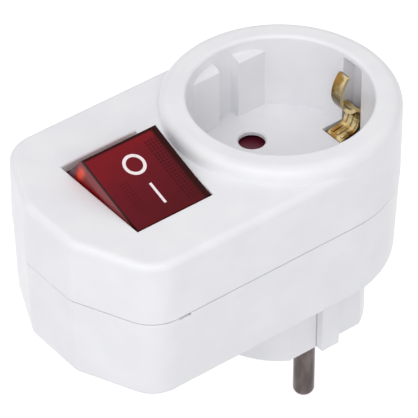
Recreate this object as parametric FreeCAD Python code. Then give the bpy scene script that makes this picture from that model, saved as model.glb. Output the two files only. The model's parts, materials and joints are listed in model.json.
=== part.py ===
import FreeCAD, Part
import math
import os

V = FreeCAD.Vector
X_AXIS = V(1, 0, 0)
Y_AXIS = V(0, 1, 0)
Z_AXIS = V(0, 0, 1)

# Frame: origin in the centre of the plug's face, between the pins. +Z points out of the
# wall and up the socket cup, -X to the switch end, and -Y to the side of the front pin.

# Plug that goes into the wall socket
PIN_SPACING = 19.0
PIN_DIAMETER = 4.8
PIN_LENGTH = 19.0
PIN_TIP_ROUNDING = 1.7
PIN_FLANGE_RADIUS = 3.5
PIN_FLANGE_HEIGHT = 1.5
PIN_SHANK_RADIUS = 2.15
PIN_TAIL_RADIUS = 2.0
PIN_HEAD_RADIUS = 2.8
PIN_HEAD_HEIGHT = 0.9
PLUG_DEPTH = 18.6
PLUG_RADIUS = 19.0
PLUG_FLAT_HALF = 16.3
PLUG_RIB_WIDTH = 4.7
PLUG_RIB_OUT = 2.0
PLUG_EDGE_ROUNDING = 0.5
PLUG_FACE_THICKNESS = 2.5
PLUG_BORE_RADIUS = 14.8
CARRIER_DROP = 3.1

# Housing shells
BODY_HALF_WIDTH = 25.8
BODY_END = 61.2
END_FLAT_HALF = 7.7
FACET_ANGLE = 24.5
CORNER_RADIUS = 8.8
FACET_RADIUS = 3.6
LOWER_HEIGHT = 20.7
UPPER_HEIGHT = 15.8
COLLAR_HEIGHT = 3.7
LOWER_STEP = 0.15
LOWER_DRAFT_INSET = 0.8
SHELL_WALL = 2.2
BOTTOM_ROUNDING = 1.9
DECK_ROUNDING = 1.6
COLLAR_ROUNDING = 2.4
LIP_ROUNDING = 0.8
SEAM_CHAMFER = 0.3
NOTCH_LENGTH = 2.8
NOTCH_HEIGHT = 0.6
NOTCH_X = -46.6

# Socket cup
CUP_RADIUS = 19.95
CUP_DEPTH = 18.4
CUP_WALL = 1.9
CUP_FLOOR = 1.2
CUP_FLOOR_SKIN = 0.9
CUP_FLAT_HALF = 17.4
CUP_FLAT_DROP = 3.2
CUP_FLAT_EDGE = 0.7
CUP_GROOVE_WIDTH = 5.2
CONTACT_HOLE_RADIUS = 3.0
CONTACT_HOLE_CHAMFER = 0.35
EARTH_SLOT_WIDTH = 6.1
EARTH_SLOT_LEAD = 0.3
EARTH_SLOT_TOP_DROP = 1.5
EARTH_CHAMBER_DEPTH = 2.85
EARTH_CHAMBER_WALL = 1.2

# Running fits and clearances
PIN_FIT = 0.05
PIVOT_FIT = 0.05
SEAT_GAP = 0.1
SLIDE_GAP = 0.3

# Screws
SCREW_PLACES = ((-47.9, 19.9), (-47.9, -19.9), (-24.0, 19.6), (-24.0, -19.6))
SCREW_SHANK_RADIUS = 1.4
SCREW_HEAD_RADIUS = 2.5
SCREW_HEAD_HEIGHT = 1.6
SCREW_SLOT_WIDTH = 0.7
SCREW_SLOT_DEPTH = 0.7
SCREW_PILLAR_RADIUS = 4.0
SCREW_WELL_RADIUS = 2.8
SCREW_WEB = 4.6
SCREW_BOSS_RADIUS = 3.6
SCREW_BITE = 9.0

# Rocker and its recess
RECESS_X_MIN = -48.0
RECESS_X_MAX = -28.6
RECESS_HALF_LENGTH = 13.15
RECESS_MIDDLE_Y = -0.35
RECESS_EDGE_ROUNDING = 0.5
ROCKER_GAP = 0.25
ROCKER_TILT = 19.0
ROCKER_FACE_HALF = 9.87
ROCKER_FACE_HOLLOW = 0.25
ROCKER_FRONT_DROP = 0.1
ROCKER_WALL = 1.5
ROCKER_SKIRT = 1.0
ROCKER_HUB_RADIUS = 3.5
ROCKER_EDGE_ROUNDING = 0.35
PIVOT_RADIUS = 1.5
BARREL_RADIUS = 2.4
BARREL_BORE_RADIUS = 1.7
BARREL_BOTTOM = 5.0
BARREL_ROOF = 7.5

# Switch works
SWITCH_WALL = 2.0
SWITCH_FLOOR = 1.4
SWITCH_HEIGHT = 23.5
SWITCH_BORE_GAP = 0.2
EAR_DROP = 6.9
EAR_THICKNESS = 1.6
EAR_RADIUS = 2.9
CASE_SCREW_RADIUS = 1.2
CASE_SCREW_HEAD_RADIUS = 2.1
CASE_SCREW_HEAD_HEIGHT = 1.5
SWITCH_SCREW_BITE = 5.0
POLE_X = (-43.0, -33.6)
PLUNGER_RADIUS = 1.6
PLUNGER_REACH = 10.3
PLUNGER_TOP = 1.0
PLUNGER_GAP = 0.6
SPRING_COIL_RADIUS = 1.2
SPRING_WIRE_RADIUS = 0.2
SPRING_TURNS = 6
SEESAW_ARM = 10.0
SEESAW_RISE_ANGLE = 16.0
SEESAW_TILT = 7.0
SEESAW_WIDTH = 4.0
SHEET = 0.8
CONTACT_GAP = 0.05
BUTTON_RADIUS = 1.3
BUTTON_HEIGHT = 0.6
BUTTON_ARM = 9.0

# Busbars and socket contacts
STRIP_WIDTH = 3.2
FEED_RISE = 1.2
LOAD_RISE = 5.5
FEED_RISE_X = -9.5
LOAD_DROP_X = -24.6
LOAD_CROSS_X = -48.6
LUG_RADIUS = 4.4
TUBE_RADIUS = 3.2
TUBE_RISE = 1.0
TUBE_TOP_DROP = 1.3
TUBE_SLIT = 1.4
HOLDER_HALF_LENGTH = 19.5
HOLDER_HALF_WIDTH = 8.3
HOLDER_PLATE = 2.0
TOWER_RADIUS = 4.7
TOWER_DROP = 3.2

# Shutter under the cup's floor
SHUTTER_THICKNESS = 1.5
SHUTTER_RADIUS = 12.9
SHUTTER_GAP = 0.5
SHUTTER_HALF_ANGLE = 21.0
SHUTTER_HUB_RADIUS = 3.2
SHUTTER_POST_RADIUS = 1.5
SHUTTER_POST_END_GAP = 0.2
SHUTTER_RAMP_DROP = 0.8
SHUTTER_RAMP_INNER = 5.2
CARRIER_PLATE = 1.5
CARRIER_RADIUS = 13.2
CARRIER_SIDE_GAP = 1.5
CARRIER_HOLE_RADIUS = 2.8
CARRIER_BOSS_RADIUS = 2.5
CARRIER_BOSS_PLACE = 11.8
CARRIER_BOSS_ANGLE = 35.0
RETURN_SPRING_RADIUS = 4.5
RETURN_SPRING_WIRE = 0.3
RETURN_SPRING_LEG = 0.24

# Earth path
EARTH_WIDTH = 4.6
EARTH_BRIDGE_DROP = 1.2
EARTH_BRIDGE_LIP = 0.2
EARTH_OVERLAP = 5.8
CLIP_FOOT_IN = 5.55
CLIP_LEFT_LEAN_OUT = 1.4
CLIP_ROLL_RADIUS = 0.9
CLIP_JOURNAL_RADIUS = 0.45
CLIP_EAR = 0.8
CLIP_TIP_HALF_WIDTH = 1.5
CLIP_WAIST_RISE = 5.0
CLIP_SHOULDER_RISE = 7.0
CLIP_TIP_RISE = 16.0
CLIP_TIP_CUT = 1.1
CLIP_HEEL_IN = 3.65
CLIP_HEEL_DROP = 0.95
CLIP_SWEEP_DROP = 0.15
CLIP_SWEEP_IN = 0.35
CLIP_SWEEP_RISE = 0.1
CLIP_BULGE_OUT = 0.6
CLIP_BULGE_RISE = 5.6
CLIP_BEND_IN = 2.75
CLIP_BEND_RISE = 5.2
CLIP_BELLY_IN = 5.05
CLIP_BELLY_RISE = 9.2
CLIP_NECK_IN = 4.35
CLIP_NECK_RISE = 13.0
CLIP_CREST_RISE = 15.35
CLIP_RIDGE_WIDTH = 0.7
CLIP_RIDGE_HEIGHT = 0.25
CLIP_RIDGE_PITCH = 1.5
STRIP_OUTER_X = 17.3
STRIP_THICKNESS = 1.0
STRIP_BOTTOM = 1.5
CHANNEL_WIDTH = 5.4

# Neon lamp in the rocker
LAMP_RADIUS = 2.1
LAMP_LENGTH = 10.0
LAMP_OWN_Y = 6.6
LAMP_OWN_Z = 6.7
LAMP_X_MIN = -45.9
LEAD_RADIUS = 0.25
LEAD_SPREAD = 0.8
RESISTOR_RADIUS = 1.2
RESISTOR_LENGTH = 6.5
RESISTOR_OWN_Y = -6.2
RESISTOR_OWN_Z = 7.6
RESISTOR_X_MIN = -41.5

# Heights and places that follow from the sizes above
PIN_Y = PIN_SPACING / 2
PIN_RADIUS = PIN_DIAMETER / 2
SEAM_Z = PLUG_DEPTH + LOWER_HEIGHT
DECK_Z = SEAM_Z + UPPER_HEIGHT
RIM_Z = DECK_Z + COLLAR_HEIGHT
FLOOR_Z = RIM_Z - CUP_DEPTH
UNDER_FLOOR_Z = FLOOR_Z - CUP_FLOOR
DECK_UNDER_Z = DECK_Z - SHELL_WALL
TUB_FLOOR_Z = PLUG_DEPTH + SHELL_WALL
CUP_OUTER_RADIUS = CUP_RADIUS + CUP_WALL

TILT = math.radians(ROCKER_TILT)
ROCKER_RADIUS = RECESS_HALF_LENGTH - ROCKER_GAP
FACE_HEIGHT = (ROCKER_RADIUS - ROCKER_FACE_HALF * math.cos(TILT)) / math.sin(TILT)
FACE_EDGE_RISE = FACE_HEIGHT * math.cos(TILT) - ROCKER_FACE_HALF * math.sin(TILT)
PIVOT_Z = DECK_Z - ROCKER_FRONT_DROP - FACE_EDGE_RISE
PIVOT = V(0, 0, PIVOT_Z)
ROCKER_X_MIN = RECESS_X_MIN + ROCKER_GAP
ROCKER_X_MAX = RECESS_X_MAX - ROCKER_GAP
SWITCH_X = (RECESS_X_MIN + RECESS_X_MAX) / 2
EAR_Y = RECESS_HALF_LENGTH + SWITCH_BORE_GAP + SWITCH_WALL + EAR_RADIUS + SEAT_GAP

TIP_Y = PLUNGER_REACH * math.sin(TILT)
TIP_Z = PIVOT_Z - PLUNGER_REACH * math.cos(TILT)
ARM_SLOPE = math.radians(SEESAW_RISE_ANGLE - SEESAW_TILT)
FULCRUM_Z = TIP_Z - PLUNGER_GAP - TIP_Y * math.tan(ARM_SLOPE) - SHEET / math.cos(ARM_SLOPE)

SHUTTER_TOP = UNDER_FLOOR_Z - SHUTTER_GAP
SHUTTER_BOTTOM = SHUTTER_TOP - SHUTTER_THICKNESS
CARRIER_PLATE_TOP = SHUTTER_BOTTOM - SLIDE_GAP
CARRIER_PLATE_BOTTOM = CARRIER_PLATE_TOP - CARRIER_PLATE

CARRIER_TOP = PLUG_DEPTH - CARRIER_DROP
FEED_LEVEL = TUB_FLOOR_Z + FEED_RISE
LOAD_LEVEL = FEED_LEVEL + LOAD_RISE
TUBE_BOTTOM = TUB_FLOOR_Z + TUBE_RISE
TUBE_TOP = CARRIER_PLATE_BOTTOM - TUBE_TOP_DROP
TOWER_TOP = TUBE_TOP - TOWER_DROP
SWITCH_FLOOR_Z = DECK_Z - SWITCH_HEIGHT
EARTH_BRIDGE_Z = CARRIER_PLATE_BOTTOM - EARTH_BRIDGE_DROP - SHEET
CLIP_FOOT_X = CUP_RADIUS - CLIP_FOOT_IN
CLIP_AXIS_X = CLIP_FOOT_X + SHEET / 2
CLIP_AXIS_Z = EARTH_BRIDGE_Z + SHEET + CLIP_ROLL_RADIUS + PIVOT_FIT
CLIP_WAIST_Z = FLOOR_Z + CLIP_WAIST_RISE
EARTH_BRIDGE_HALF = CLIP_AXIS_X + CLIP_ROLL_RADIUS + EARTH_BRIDGE_LIP
CARRIER_HALF_WIDTH = CLIP_FOOT_X - CARRIER_SIDE_GAP
LUG_Z = CARRIER_TOP
LOAD_LUG_Z = TOWER_TOP


def box(x0, x1, y0, y1, z0, z1):
    """Box between two corners."""
    return Part.makeBox(x1 - x0, y1 - y0, z1 - z0, V(x0, y0, z0))


def rod(radius, z0, z1, x=0.0, y=0.0):
    """Upright cylinder between two heights."""
    return Part.makeCylinder(radius, z1 - z0, V(x, y, z0), Z_AXIS)


def rod_x(radius, x0, x1, y, z):
    """Cylinder along X."""
    return Part.makeCylinder(radius, x1 - x0, V(x0, y, z), X_AXIS)


def both_sides(make):
    """A shape made for the +1 side and the -1 side, fused."""
    return make(1).fuse(make(-1))


def rod_y(radius, half_length, middle):
    """Cylinder along Y about its middle point."""
    return Part.makeCylinder(radius, 2 * half_length, middle - Y_AXIS * half_length, Y_AXIS)


def extrude_yz(points, x0, x1):
    """Prism along X of a polygon of (y, z) points."""
    corners = [V(x0, y, z) for y, z in points]
    face = Part.Face(Part.makePolygon(corners + corners[:1]))
    return face.extrude(V(x1 - x0, 0, 0))


def extrude_xz(points, y0, y1):
    """Prism along Y of a polygon of (x, z) points."""
    corners = [V(x, y0, z) for x, z in points]
    face = Part.Face(Part.makePolygon(corners + corners[:1]))
    return face.extrude(V(0, y1 - y0, 0))


def tilted(shape, degrees=ROCKER_TILT):
    """A shape turned about the rocker's pivot, from level to the pressed position."""
    turned = shape.copy()
    turned.rotate(PIVOT, X_AXIS, degrees)
    return turned


def clean(shape):
    """Merge faces that continue each other and keep the single solid."""
    merged = shape.removeSplitter()
    if len(merged.Solids) == 1:
        return merged.Solids[0]
    return merged


def tangent_arc(centre, radius, start, end, z):
    """Arc about a centre between two directions in degrees."""
    middle = math.radians((start + end) / 2)
    a = math.radians(start)
    b = math.radians(end)
    points = [
        V(centre[0] + radius * math.cos(t), centre[1] + radius * math.sin(t), z)
        for t in (a, middle, b)
    ]
    return Part.Arc(*points).toShape()


def body_outline(inset, z):
    """Closed plan outline of the body: round socket end, straight sides, faceted switch end."""
    angle = math.radians(FACET_ANGLE)
    corner_y = BODY_HALF_WIDTH - CORNER_RADIUS
    corner_run = CORNER_RADIUS + math.sin(angle) * (corner_y - END_FLAT_HALF)
    corner_x = -BODY_END + corner_run / math.cos(angle)
    facet_x = -BODY_END + FACET_RADIUS
    facet_y = END_FLAT_HALF - FACET_RADIUS * math.tan(angle / 2)
    turn = 180.0 - FACET_ANGLE
    arcs = [
        tangent_arc((0, 0), BODY_HALF_WIDTH - inset, -90, 90, z),
        tangent_arc((corner_x, corner_y), CORNER_RADIUS - inset, 90, turn, z),
        tangent_arc((facet_x, facet_y), FACET_RADIUS - inset, turn, 180, z),
        tangent_arc((facet_x, -facet_y), FACET_RADIUS - inset, 180, 180 + FACET_ANGLE, z),
        tangent_arc((corner_x, -corner_y), CORNER_RADIUS - inset, 180 + FACET_ANGLE, 270, z),
    ]
    edges = []
    for arc, following in zip(arcs, arcs[1:] + arcs[:1]):
        edges.append(arc)
        start = arc.valueAt(arc.LastParameter)
        end = following.valueAt(following.FirstParameter)
        edges.append(Part.LineSegment(start, end).toShape())
    return Part.Wire(edges)


def body_prism(inset, z0, z1):
    """Upright prism of the plan outline."""
    return Part.Face(body_outline(inset, z0)).extrude(V(0, 0, z1 - z0))


def body_taper(inset0, z0, inset1, z1):
    """Solid between two plan outlines."""
    return Part.makeLoft([body_outline(inset0, z0), body_outline(inset1, z1)], True, True)


def edges_at(shape, z, tolerance=1e-4):
    """Edges of a shape that lie wholly in a level plane."""
    found = []
    for edge in shape.Edges:
        box_of_edge = edge.BoundBox
        if abs(box_of_edge.ZMin - z) < tolerance and abs(box_of_edge.ZMax - z) < tolerance:
            found.append(edge)
    return found


def collar_ring():
    """Round end of the upper shell: outer wall, rounded rim and lip, solid to the axis."""
    outer = BODY_HALF_WIDTH
    bottom = V(0, 0, SEAM_Z + SEAM_CHAMFER)
    foot = V(outer, 0, SEAM_Z + SEAM_CHAMFER)
    wall_top = V(outer, 0, RIM_Z - COLLAR_ROUNDING)
    rim_outer = V(outer - COLLAR_ROUNDING, 0, RIM_Z)
    half = math.sqrt(0.5)
    rim_middle = V(
        outer - COLLAR_ROUNDING * (1 - half), 0, RIM_Z - COLLAR_ROUNDING * (1 - half)
    )
    axis_top = V(0, 0, RIM_Z)
    profile = Part.Wire([
        Part.LineSegment(bottom, foot).toShape(),
        Part.LineSegment(foot, wall_top).toShape(),
        Part.Arc(wall_top, rim_middle, rim_outer).toShape(),
        Part.LineSegment(rim_outer, axis_top).toShape(),
        Part.LineSegment(axis_top, bottom).toShape(),
    ])
    return Part.Face(profile).revolve(V(0, 0, 0), Z_AXIS, 360)


def cup_space():
    """Air inside the socket cup: round bore with flats, guide grooves and a rounded lip."""
    step = CUP_FLAT_HALF + CUP_FLAT_EDGE
    wide = CUP_RADIUS + 1
    flat_top = RIM_Z - CUP_FLAT_DROP
    above = RIM_Z + 1
    section = [
        (-CUP_FLAT_HALF, FLOOR_Z),
        (CUP_FLAT_HALF, FLOOR_Z),
        (CUP_FLAT_HALF, flat_top - CUP_FLAT_EDGE),
        (step, flat_top),
        (wide, flat_top + CUP_FLAT_EDGE / 2),
        (wide, above),
        (-wide, above),
        (-wide, flat_top + CUP_FLAT_EDGE / 2),
        (-step, flat_top),
        (-CUP_FLAT_HALF, flat_top - CUP_FLAT_EDGE),
    ]
    slab = extrude_yz(section, -wide, wide)
    half_groove = CUP_GROOVE_WIDTH / 2
    slab = slab.fuse(box(-half_groove, half_groove, -wide, wide, FLOOR_Z, above))
    space = slab.common(rod(CUP_RADIUS, FLOOR_Z, above))
    lip_z = RIM_Z - LIP_ROUNDING
    mid = LIP_ROUNDING * (1 - math.sqrt(0.5))
    low = V(CUP_RADIUS, 0, lip_z)
    high = V(CUP_RADIUS + LIP_ROUNDING, 0, RIM_Z)
    corners = [high, V(high.x, 0, above), V(0, 0, above), V(0, 0, lip_z), low]
    edges = [Part.Arc(low, V(CUP_RADIUS + mid, 0, RIM_Z - mid), high).toShape()]
    edges += [Part.LineSegment(a, b).toShape() for a, b in zip(corners, corners[1:])]
    mouth = Part.Face(Part.Wire(edges)).revolve(V(0, 0, 0), Z_AXIS, 360)
    return space.fuse(mouth)


def earth_slot(side):
    """Slot in the cup's floor and wall for an earth clip, and the clip's chamber behind it."""
    half = EARTH_SLOT_WIDTH / 2
    inner = CLIP_FOOT_X - EARTH_SLOT_LEAD
    x0, x1 = sorted((side * inner, side * (CUP_RADIUS + EARTH_CHAMBER_DEPTH)))
    return box(x0, x1, -half, half, UNDER_FLOOR_Z - 1, RIM_Z - EARTH_SLOT_TOP_DROP)


def earth_chamber(side):
    """Thickened cup wall that closes the room behind an earth clip."""
    half = EARTH_SLOT_WIDTH / 2 + EARTH_CHAMBER_WALL
    outer = CUP_RADIUS + EARTH_CHAMBER_DEPTH + EARTH_CHAMBER_WALL
    x0, x1 = sorted((side * (CUP_OUTER_RADIUS - 1), side * outer))
    return box(x0, x1, -half, half, SEAM_Z, RIM_Z - SHELL_WALL + SEAT_GAP)


def contact_hole(side):
    """Hole in the cup's floor for a pin, with a small countersink."""
    y = side * PIN_Y
    hole = rod(CONTACT_HOLE_RADIUS, UNDER_FLOOR_Z - 1, FLOOR_Z + 1, 0, y)
    sink = Part.makeCone(CONTACT_HOLE_RADIUS, CONTACT_HOLE_RADIUS + CONTACT_HOLE_CHAMFER,
                         CONTACT_HOLE_CHAMFER, V(0, y, FLOOR_Z - CONTACT_HOLE_CHAMFER), Z_AXIS)
    return hole.fuse(sink)


def carrier_boss_places():
    """Plan places of the two screws that hold the shutter carrier."""
    angle = math.radians(CARRIER_BOSS_ANGLE)
    x = CARRIER_BOSS_PLACE * math.cos(angle)
    y = CARRIER_BOSS_PLACE * math.sin(angle)
    return ((x, y), (-x, -y))


def with_recess(shell):
    """A shell with the rocker's opening through the deck, its upper edge rounded."""
    y0 = RECESS_MIDDLE_Y - RECESS_HALF_LENGTH
    y1 = RECESS_MIDDLE_Y + RECESS_HALF_LENGTH
    cut = shell.cut(box(RECESS_X_MIN, RECESS_X_MAX, y0, y1, DECK_UNDER_Z - 1, DECK_Z + 1))
    rim = [
        edge for edge in edges_at(cut, DECK_Z)
        if edge.BoundBox.XMin > RECESS_X_MIN - 0.01 and edge.BoundBox.XMax < RECESS_X_MAX + 0.01
        and edge.BoundBox.YMin > y0 - 0.01 and edge.BoundBox.YMax < y1 + 0.01
    ]
    return cut.makeFillet(RECESS_EDGE_ROUNDING, rim)


def upper_shell():
    """Deck, collar and socket cup in one moulding."""
    deck = body_prism(0, SEAM_Z + SEAM_CHAMFER, DECK_Z)
    deck = deck.makeFillet(DECK_ROUNDING, edges_at(deck, DECK_Z))
    outside = deck.fuse(collar_ring())
    outside = outside.fuse(body_taper(SEAM_CHAMFER, SEAM_Z, 0, SEAM_Z + SEAM_CHAMFER))

    hollow = body_prism(SHELL_WALL, SEAM_Z - 1, DECK_UNDER_Z)
    pocket = rod(BODY_HALF_WIDTH - SHELL_WALL, SEAM_Z - 1, RIM_Z - SHELL_WALL)
    hollow = hollow.fuse(pocket)
    hollow = hollow.cut(rod(CUP_OUTER_RADIUS, SEAM_Z - 2, RIM_Z))
    shell = outside.cut(hollow)
    shell = shell.fuse(rod(CUP_OUTER_RADIUS, UNDER_FLOOR_Z, SEAM_Z + 1))
    shell = shell.fuse(both_sides(earth_chamber))
    shell = shell.cut(cup_space())
    shell = shell.cut(both_sides(earth_slot))
    shell = shell.cut(both_sides(contact_hole))

    shell = with_recess(shell)
    for x, y in SCREW_PLACES:
        shell = shell.fuse(rod(SCREW_BOSS_RADIUS, SEAM_Z, DECK_UNDER_Z + 1, x, y))
        shell = shell.cut(rod(SCREW_SHANK_RADIUS + PIVOT_FIT, SEAM_Z - 1,
                              SEAM_Z + SCREW_BITE + 1, x, y))
    for side in (1, -1):
        y = RECESS_MIDDLE_Y + side * EAR_Y
        shell = shell.fuse(rod(EAR_RADIUS, DECK_Z - EAR_DROP, DECK_UNDER_Z + 1, SWITCH_X, y))
        shell = shell.cut(rod(CASE_SCREW_RADIUS + PIVOT_FIT, DECK_Z - EAR_DROP - 1,
                              DECK_Z - EAR_DROP + SWITCH_SCREW_BITE, SWITCH_X, y))
    for x, y in carrier_boss_places():
        shell = shell.fuse(rod(CARRIER_BOSS_RADIUS, CARRIER_PLATE_TOP, UNDER_FLOOR_Z + 1, x, y))
        shell = shell.cut(rod(CASE_SCREW_RADIUS + PIVOT_FIT, CARRIER_PLATE_TOP - 1,
                              FLOOR_Z - CUP_FLOOR_SKIN, x, y))
    post_hole = rod(SHUTTER_POST_RADIUS + PIVOT_FIT, UNDER_FLOOR_Z - 1, FLOOR_Z - CUP_FLOOR_SKIN)
    return clean(shell.cut(post_hole))


def plug_block():
    """Outer form of the plug: round, with two flats and a guide rib on each."""
    top = TUB_FLOOR_Z
    wide = PLUG_RADIUS + 1
    block = rod(PLUG_RADIUS, 0, top)
    block = block.common(box(-wide, wide, -PLUG_FLAT_HALF, PLUG_FLAT_HALF, 0, top))
    rib = PLUG_RIB_WIDTH / 2
    rib_y = PLUG_FLAT_HALF + PLUG_RIB_OUT
    block = clean(block.fuse(box(-rib, rib, -rib_y, rib_y, 0, top)))
    return block.makeFillet(PLUG_EDGE_ROUNDING, edges_at(block, 0))


def plug_channel(side):
    """Open channel in the plug's side, and its way up into the body, for an earth strip."""
    half = CHANNEL_WIDTH / 2
    inner = STRIP_OUTER_X - STRIP_THICKNESS - SEAT_GAP
    x0, x1 = sorted((side * inner, side * (PLUG_RADIUS + 1)))
    channel = box(x0, x1, -half, half, -1, PLUG_DEPTH)
    x0, x1 = sorted((side * inner, side * (STRIP_OUTER_X + SEAT_GAP)))
    return channel.fuse(box(x0, x1, -half, half, PLUG_DEPTH - 1, TUB_FLOOR_Z + 1))


def lower_shell():
    """Body tub with the plug under its socket end."""
    bottom_inset = LOWER_STEP + LOWER_DRAFT_INSET
    shoulder_z = SEAM_Z - SEAM_CHAMFER
    tub = body_taper(bottom_inset, PLUG_DEPTH, LOWER_STEP, shoulder_z)
    tub = tub.makeFillet(BOTTOM_ROUNDING, edges_at(tub, PLUG_DEPTH))
    tub = tub.fuse(body_taper(LOWER_STEP, shoulder_z, LOWER_STEP + SEAM_CHAMFER, SEAM_Z))
    shell = tub.cut(body_taper(bottom_inset + SHELL_WALL, TUB_FLOOR_Z,
                               LOWER_STEP + SHELL_WALL, SEAM_Z + 0.01))
    shell = shell.fuse(plug_block())
    shell = shell.cut(rod(PLUG_BORE_RADIUS, PLUG_FACE_THICKNESS, TUB_FLOOR_Z + 1))
    shell = shell.cut(both_sides(plug_channel))
    for side in (1, -1):
        shell = shell.cut(rod(PIN_SHANK_RADIUS + PIN_FIT, -1, PLUG_FACE_THICKNESS + 1, 0,
                              side * PIN_Y))

    for x, y in SCREW_PLACES:
        shell = shell.fuse(rod(SCREW_PILLAR_RADIUS, TUB_FLOOR_Z - 1, SEAM_Z, x, y))
        shell = shell.cut(rod(SCREW_WELL_RADIUS, PLUG_DEPTH - 1, SEAM_Z - SCREW_WEB, x, y))
        shell = shell.cut(rod(SCREW_SHANK_RADIUS + SEAT_GAP, PLUG_DEPTH, SEAM_Z + 1, x, y))
    notch_y = -BODY_HALF_WIDTH
    notch = box(NOTCH_X, NOTCH_X + NOTCH_LENGTH, notch_y - 1, notch_y + LOWER_STEP + 1,
                SEAM_Z - NOTCH_HEIGHT, SEAM_Z + 1)
    return clean(shell.cut(notch))


def screw(x, y, head_bottom, shank_top, shank_radius, head_radius, head_height):
    """Slotted screw, head down."""
    body = rod(head_radius, head_bottom, head_bottom + head_height, x, y)
    body = body.fuse(rod(shank_radius, head_bottom + head_height, shank_top, x, y))
    half = SCREW_SLOT_WIDTH / 2
    slot = box(x - head_radius - 1, x + head_radius + 1, y - half, y + half,
               head_bottom - 1, head_bottom + SCREW_SLOT_DEPTH)
    return body.cut(slot)


def housing_screws():
    """Four screws that hold the shells together, from below."""
    seat = SEAM_Z - SCREW_WEB
    return Part.makeCompound([
        screw(x, y, seat - SCREW_HEAD_HEIGHT, SEAM_Z + SCREW_BITE, SCREW_SHANK_RADIUS,
              SCREW_HEAD_RADIUS, SCREW_HEAD_HEIGHT)
        for x, y in SCREW_PLACES
    ])


def plug_pin(side):
    """Round pin with a flange in the carrier and a riveted head over the busbar's lug."""
    y = side * PIN_Y
    shaft = rod(PIN_RADIUS, -PIN_LENGTH, 0, 0, y)
    shaft = shaft.makeFillet(PIN_TIP_ROUNDING, edges_at(shaft, -PIN_LENGTH))
    pin = shaft.fuse(rod(PIN_SHANK_RADIUS, 0, LUG_Z, 0, y))
    pin = pin.fuse(rod(PIN_FLANGE_RADIUS, PLUG_FACE_THICKNESS,
                         PLUG_FACE_THICKNESS + PIN_FLANGE_HEIGHT, 0, y))
    head_z = LUG_Z + SHEET + SEAT_GAP
    pin = pin.fuse(rod(PIN_TAIL_RADIUS, LUG_Z, head_z, 0, y))
    return clean(pin.fuse(rod(PIN_HEAD_RADIUS, head_z, head_z + PIN_HEAD_HEIGHT, 0, y)))


def pin_carrier():
    """Insulating plug insert that clamps the flanges of both pins."""
    carrier = rod(PLUG_BORE_RADIUS - SEAT_GAP, PLUG_FACE_THICKNESS, CARRIER_TOP)
    for side in (1, -1):
        y = side * PIN_Y
        carrier = carrier.cut(rod(PIN_SHANK_RADIUS + PIN_FIT, 0, CARRIER_TOP + 1, 0, y))
        carrier = carrier.cut(rod(PIN_FLANGE_RADIUS + SEAT_GAP, 0,
                                  PLUG_FACE_THICKNESS + PIN_FLANGE_HEIGHT + SEAT_GAP, 0, y))
    return clean(carrier)


def strip_run(x0, y0, x1, y1, z):
    """Flat busbar run between two plan points, square ends half a width past each."""
    half = STRIP_WIDTH / 2
    xa, xb = sorted((x0, x1))
    ya, yb = sorted((y0, y1))
    return box(xa - half, xb + half, ya - half, yb + half, z, z + SHEET)


def lug(y, hole_radius, z):
    """Round busbar end with a hole."""
    ring = rod(LUG_RADIUS, z, z + SHEET, 0, y)
    return ring.cut(rod(hole_radius, z - 1, z + SHEET + 1, 0, y))


def feed_busbar(side, pole_x):
    """From a plug pin up out of the plug, along the tub, to the pole's middle."""
    pin_y = side * PIN_Y
    run_y = side * (PIN_Y - 0.4)
    half = STRIP_WIDTH / 2
    bar = lug(pin_y, PIN_TAIL_RADIUS + PIN_FIT, LUG_Z)
    link = box(FEED_RISE_X - SHEET / 2, -PIN_HEAD_RADIUS, run_y - half, run_y + half,
               LUG_Z, LUG_Z + SHEET)
    bar = bar.fuse(link.cut(rod(PIN_TAIL_RADIUS + PIN_FIT, 0, TUB_FLOOR_Z, 0, pin_y)))
    bar = bar.fuse(box(FEED_RISE_X - SHEET / 2, FEED_RISE_X + SHEET / 2, run_y - half,
                       run_y + half, LUG_Z, FEED_LEVEL + SHEET))
    bar = bar.fuse(box(pole_x - half, FEED_RISE_X + SHEET / 2, run_y - half, run_y + half,
                       FEED_LEVEL, FEED_LEVEL + SHEET))
    bar = bar.fuse(strip_run(pole_x, RECESS_MIDDLE_Y, pole_x, run_y, FEED_LEVEL))
    return clean(bar)


def in_recess(shape):
    """A switch piece made about y = 0, moved to the recess's middle."""
    moved = shape.copy()
    moved.translate(Y_AXIS * RECESS_MIDDLE_Y)
    return moved


def feed_terminal(pole_x):
    """Upright tab that carries the seesaw on its top edge."""
    half = SEESAW_WIDTH / 2
    tab = box(pole_x - half, pole_x + half, -SHEET / 2, SHEET / 2,
              FEED_LEVEL + SHEET, FULCRUM_Z - CONTACT_GAP)
    foot = box(pole_x - half, pole_x + half, -SHEET / 2, SHEET * 2,
               FEED_LEVEL + SHEET, FEED_LEVEL + 2 * SHEET)
    return clean(tab.fuse(foot))


def load_button_place():
    """Place (y, z) of the lowest edge of the seesaw's closed contact button."""
    rise = math.radians(SEESAW_RISE_ANGLE)
    y = BUTTON_ARM * math.cos(rise) + BUTTON_HEIGHT * math.sin(rise)
    z = BUTTON_ARM * math.sin(rise) - BUTTON_HEIGHT * math.cos(rise)
    tilt = -math.radians(SEESAW_TILT)
    closed_y = y * math.cos(tilt) - z * math.sin(tilt)
    closed_z = y * math.sin(tilt) + z * math.cos(tilt)
    return closed_y, FULCRUM_Z + closed_z - BUTTON_RADIUS * math.sin(ARM_SLOPE)


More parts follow.
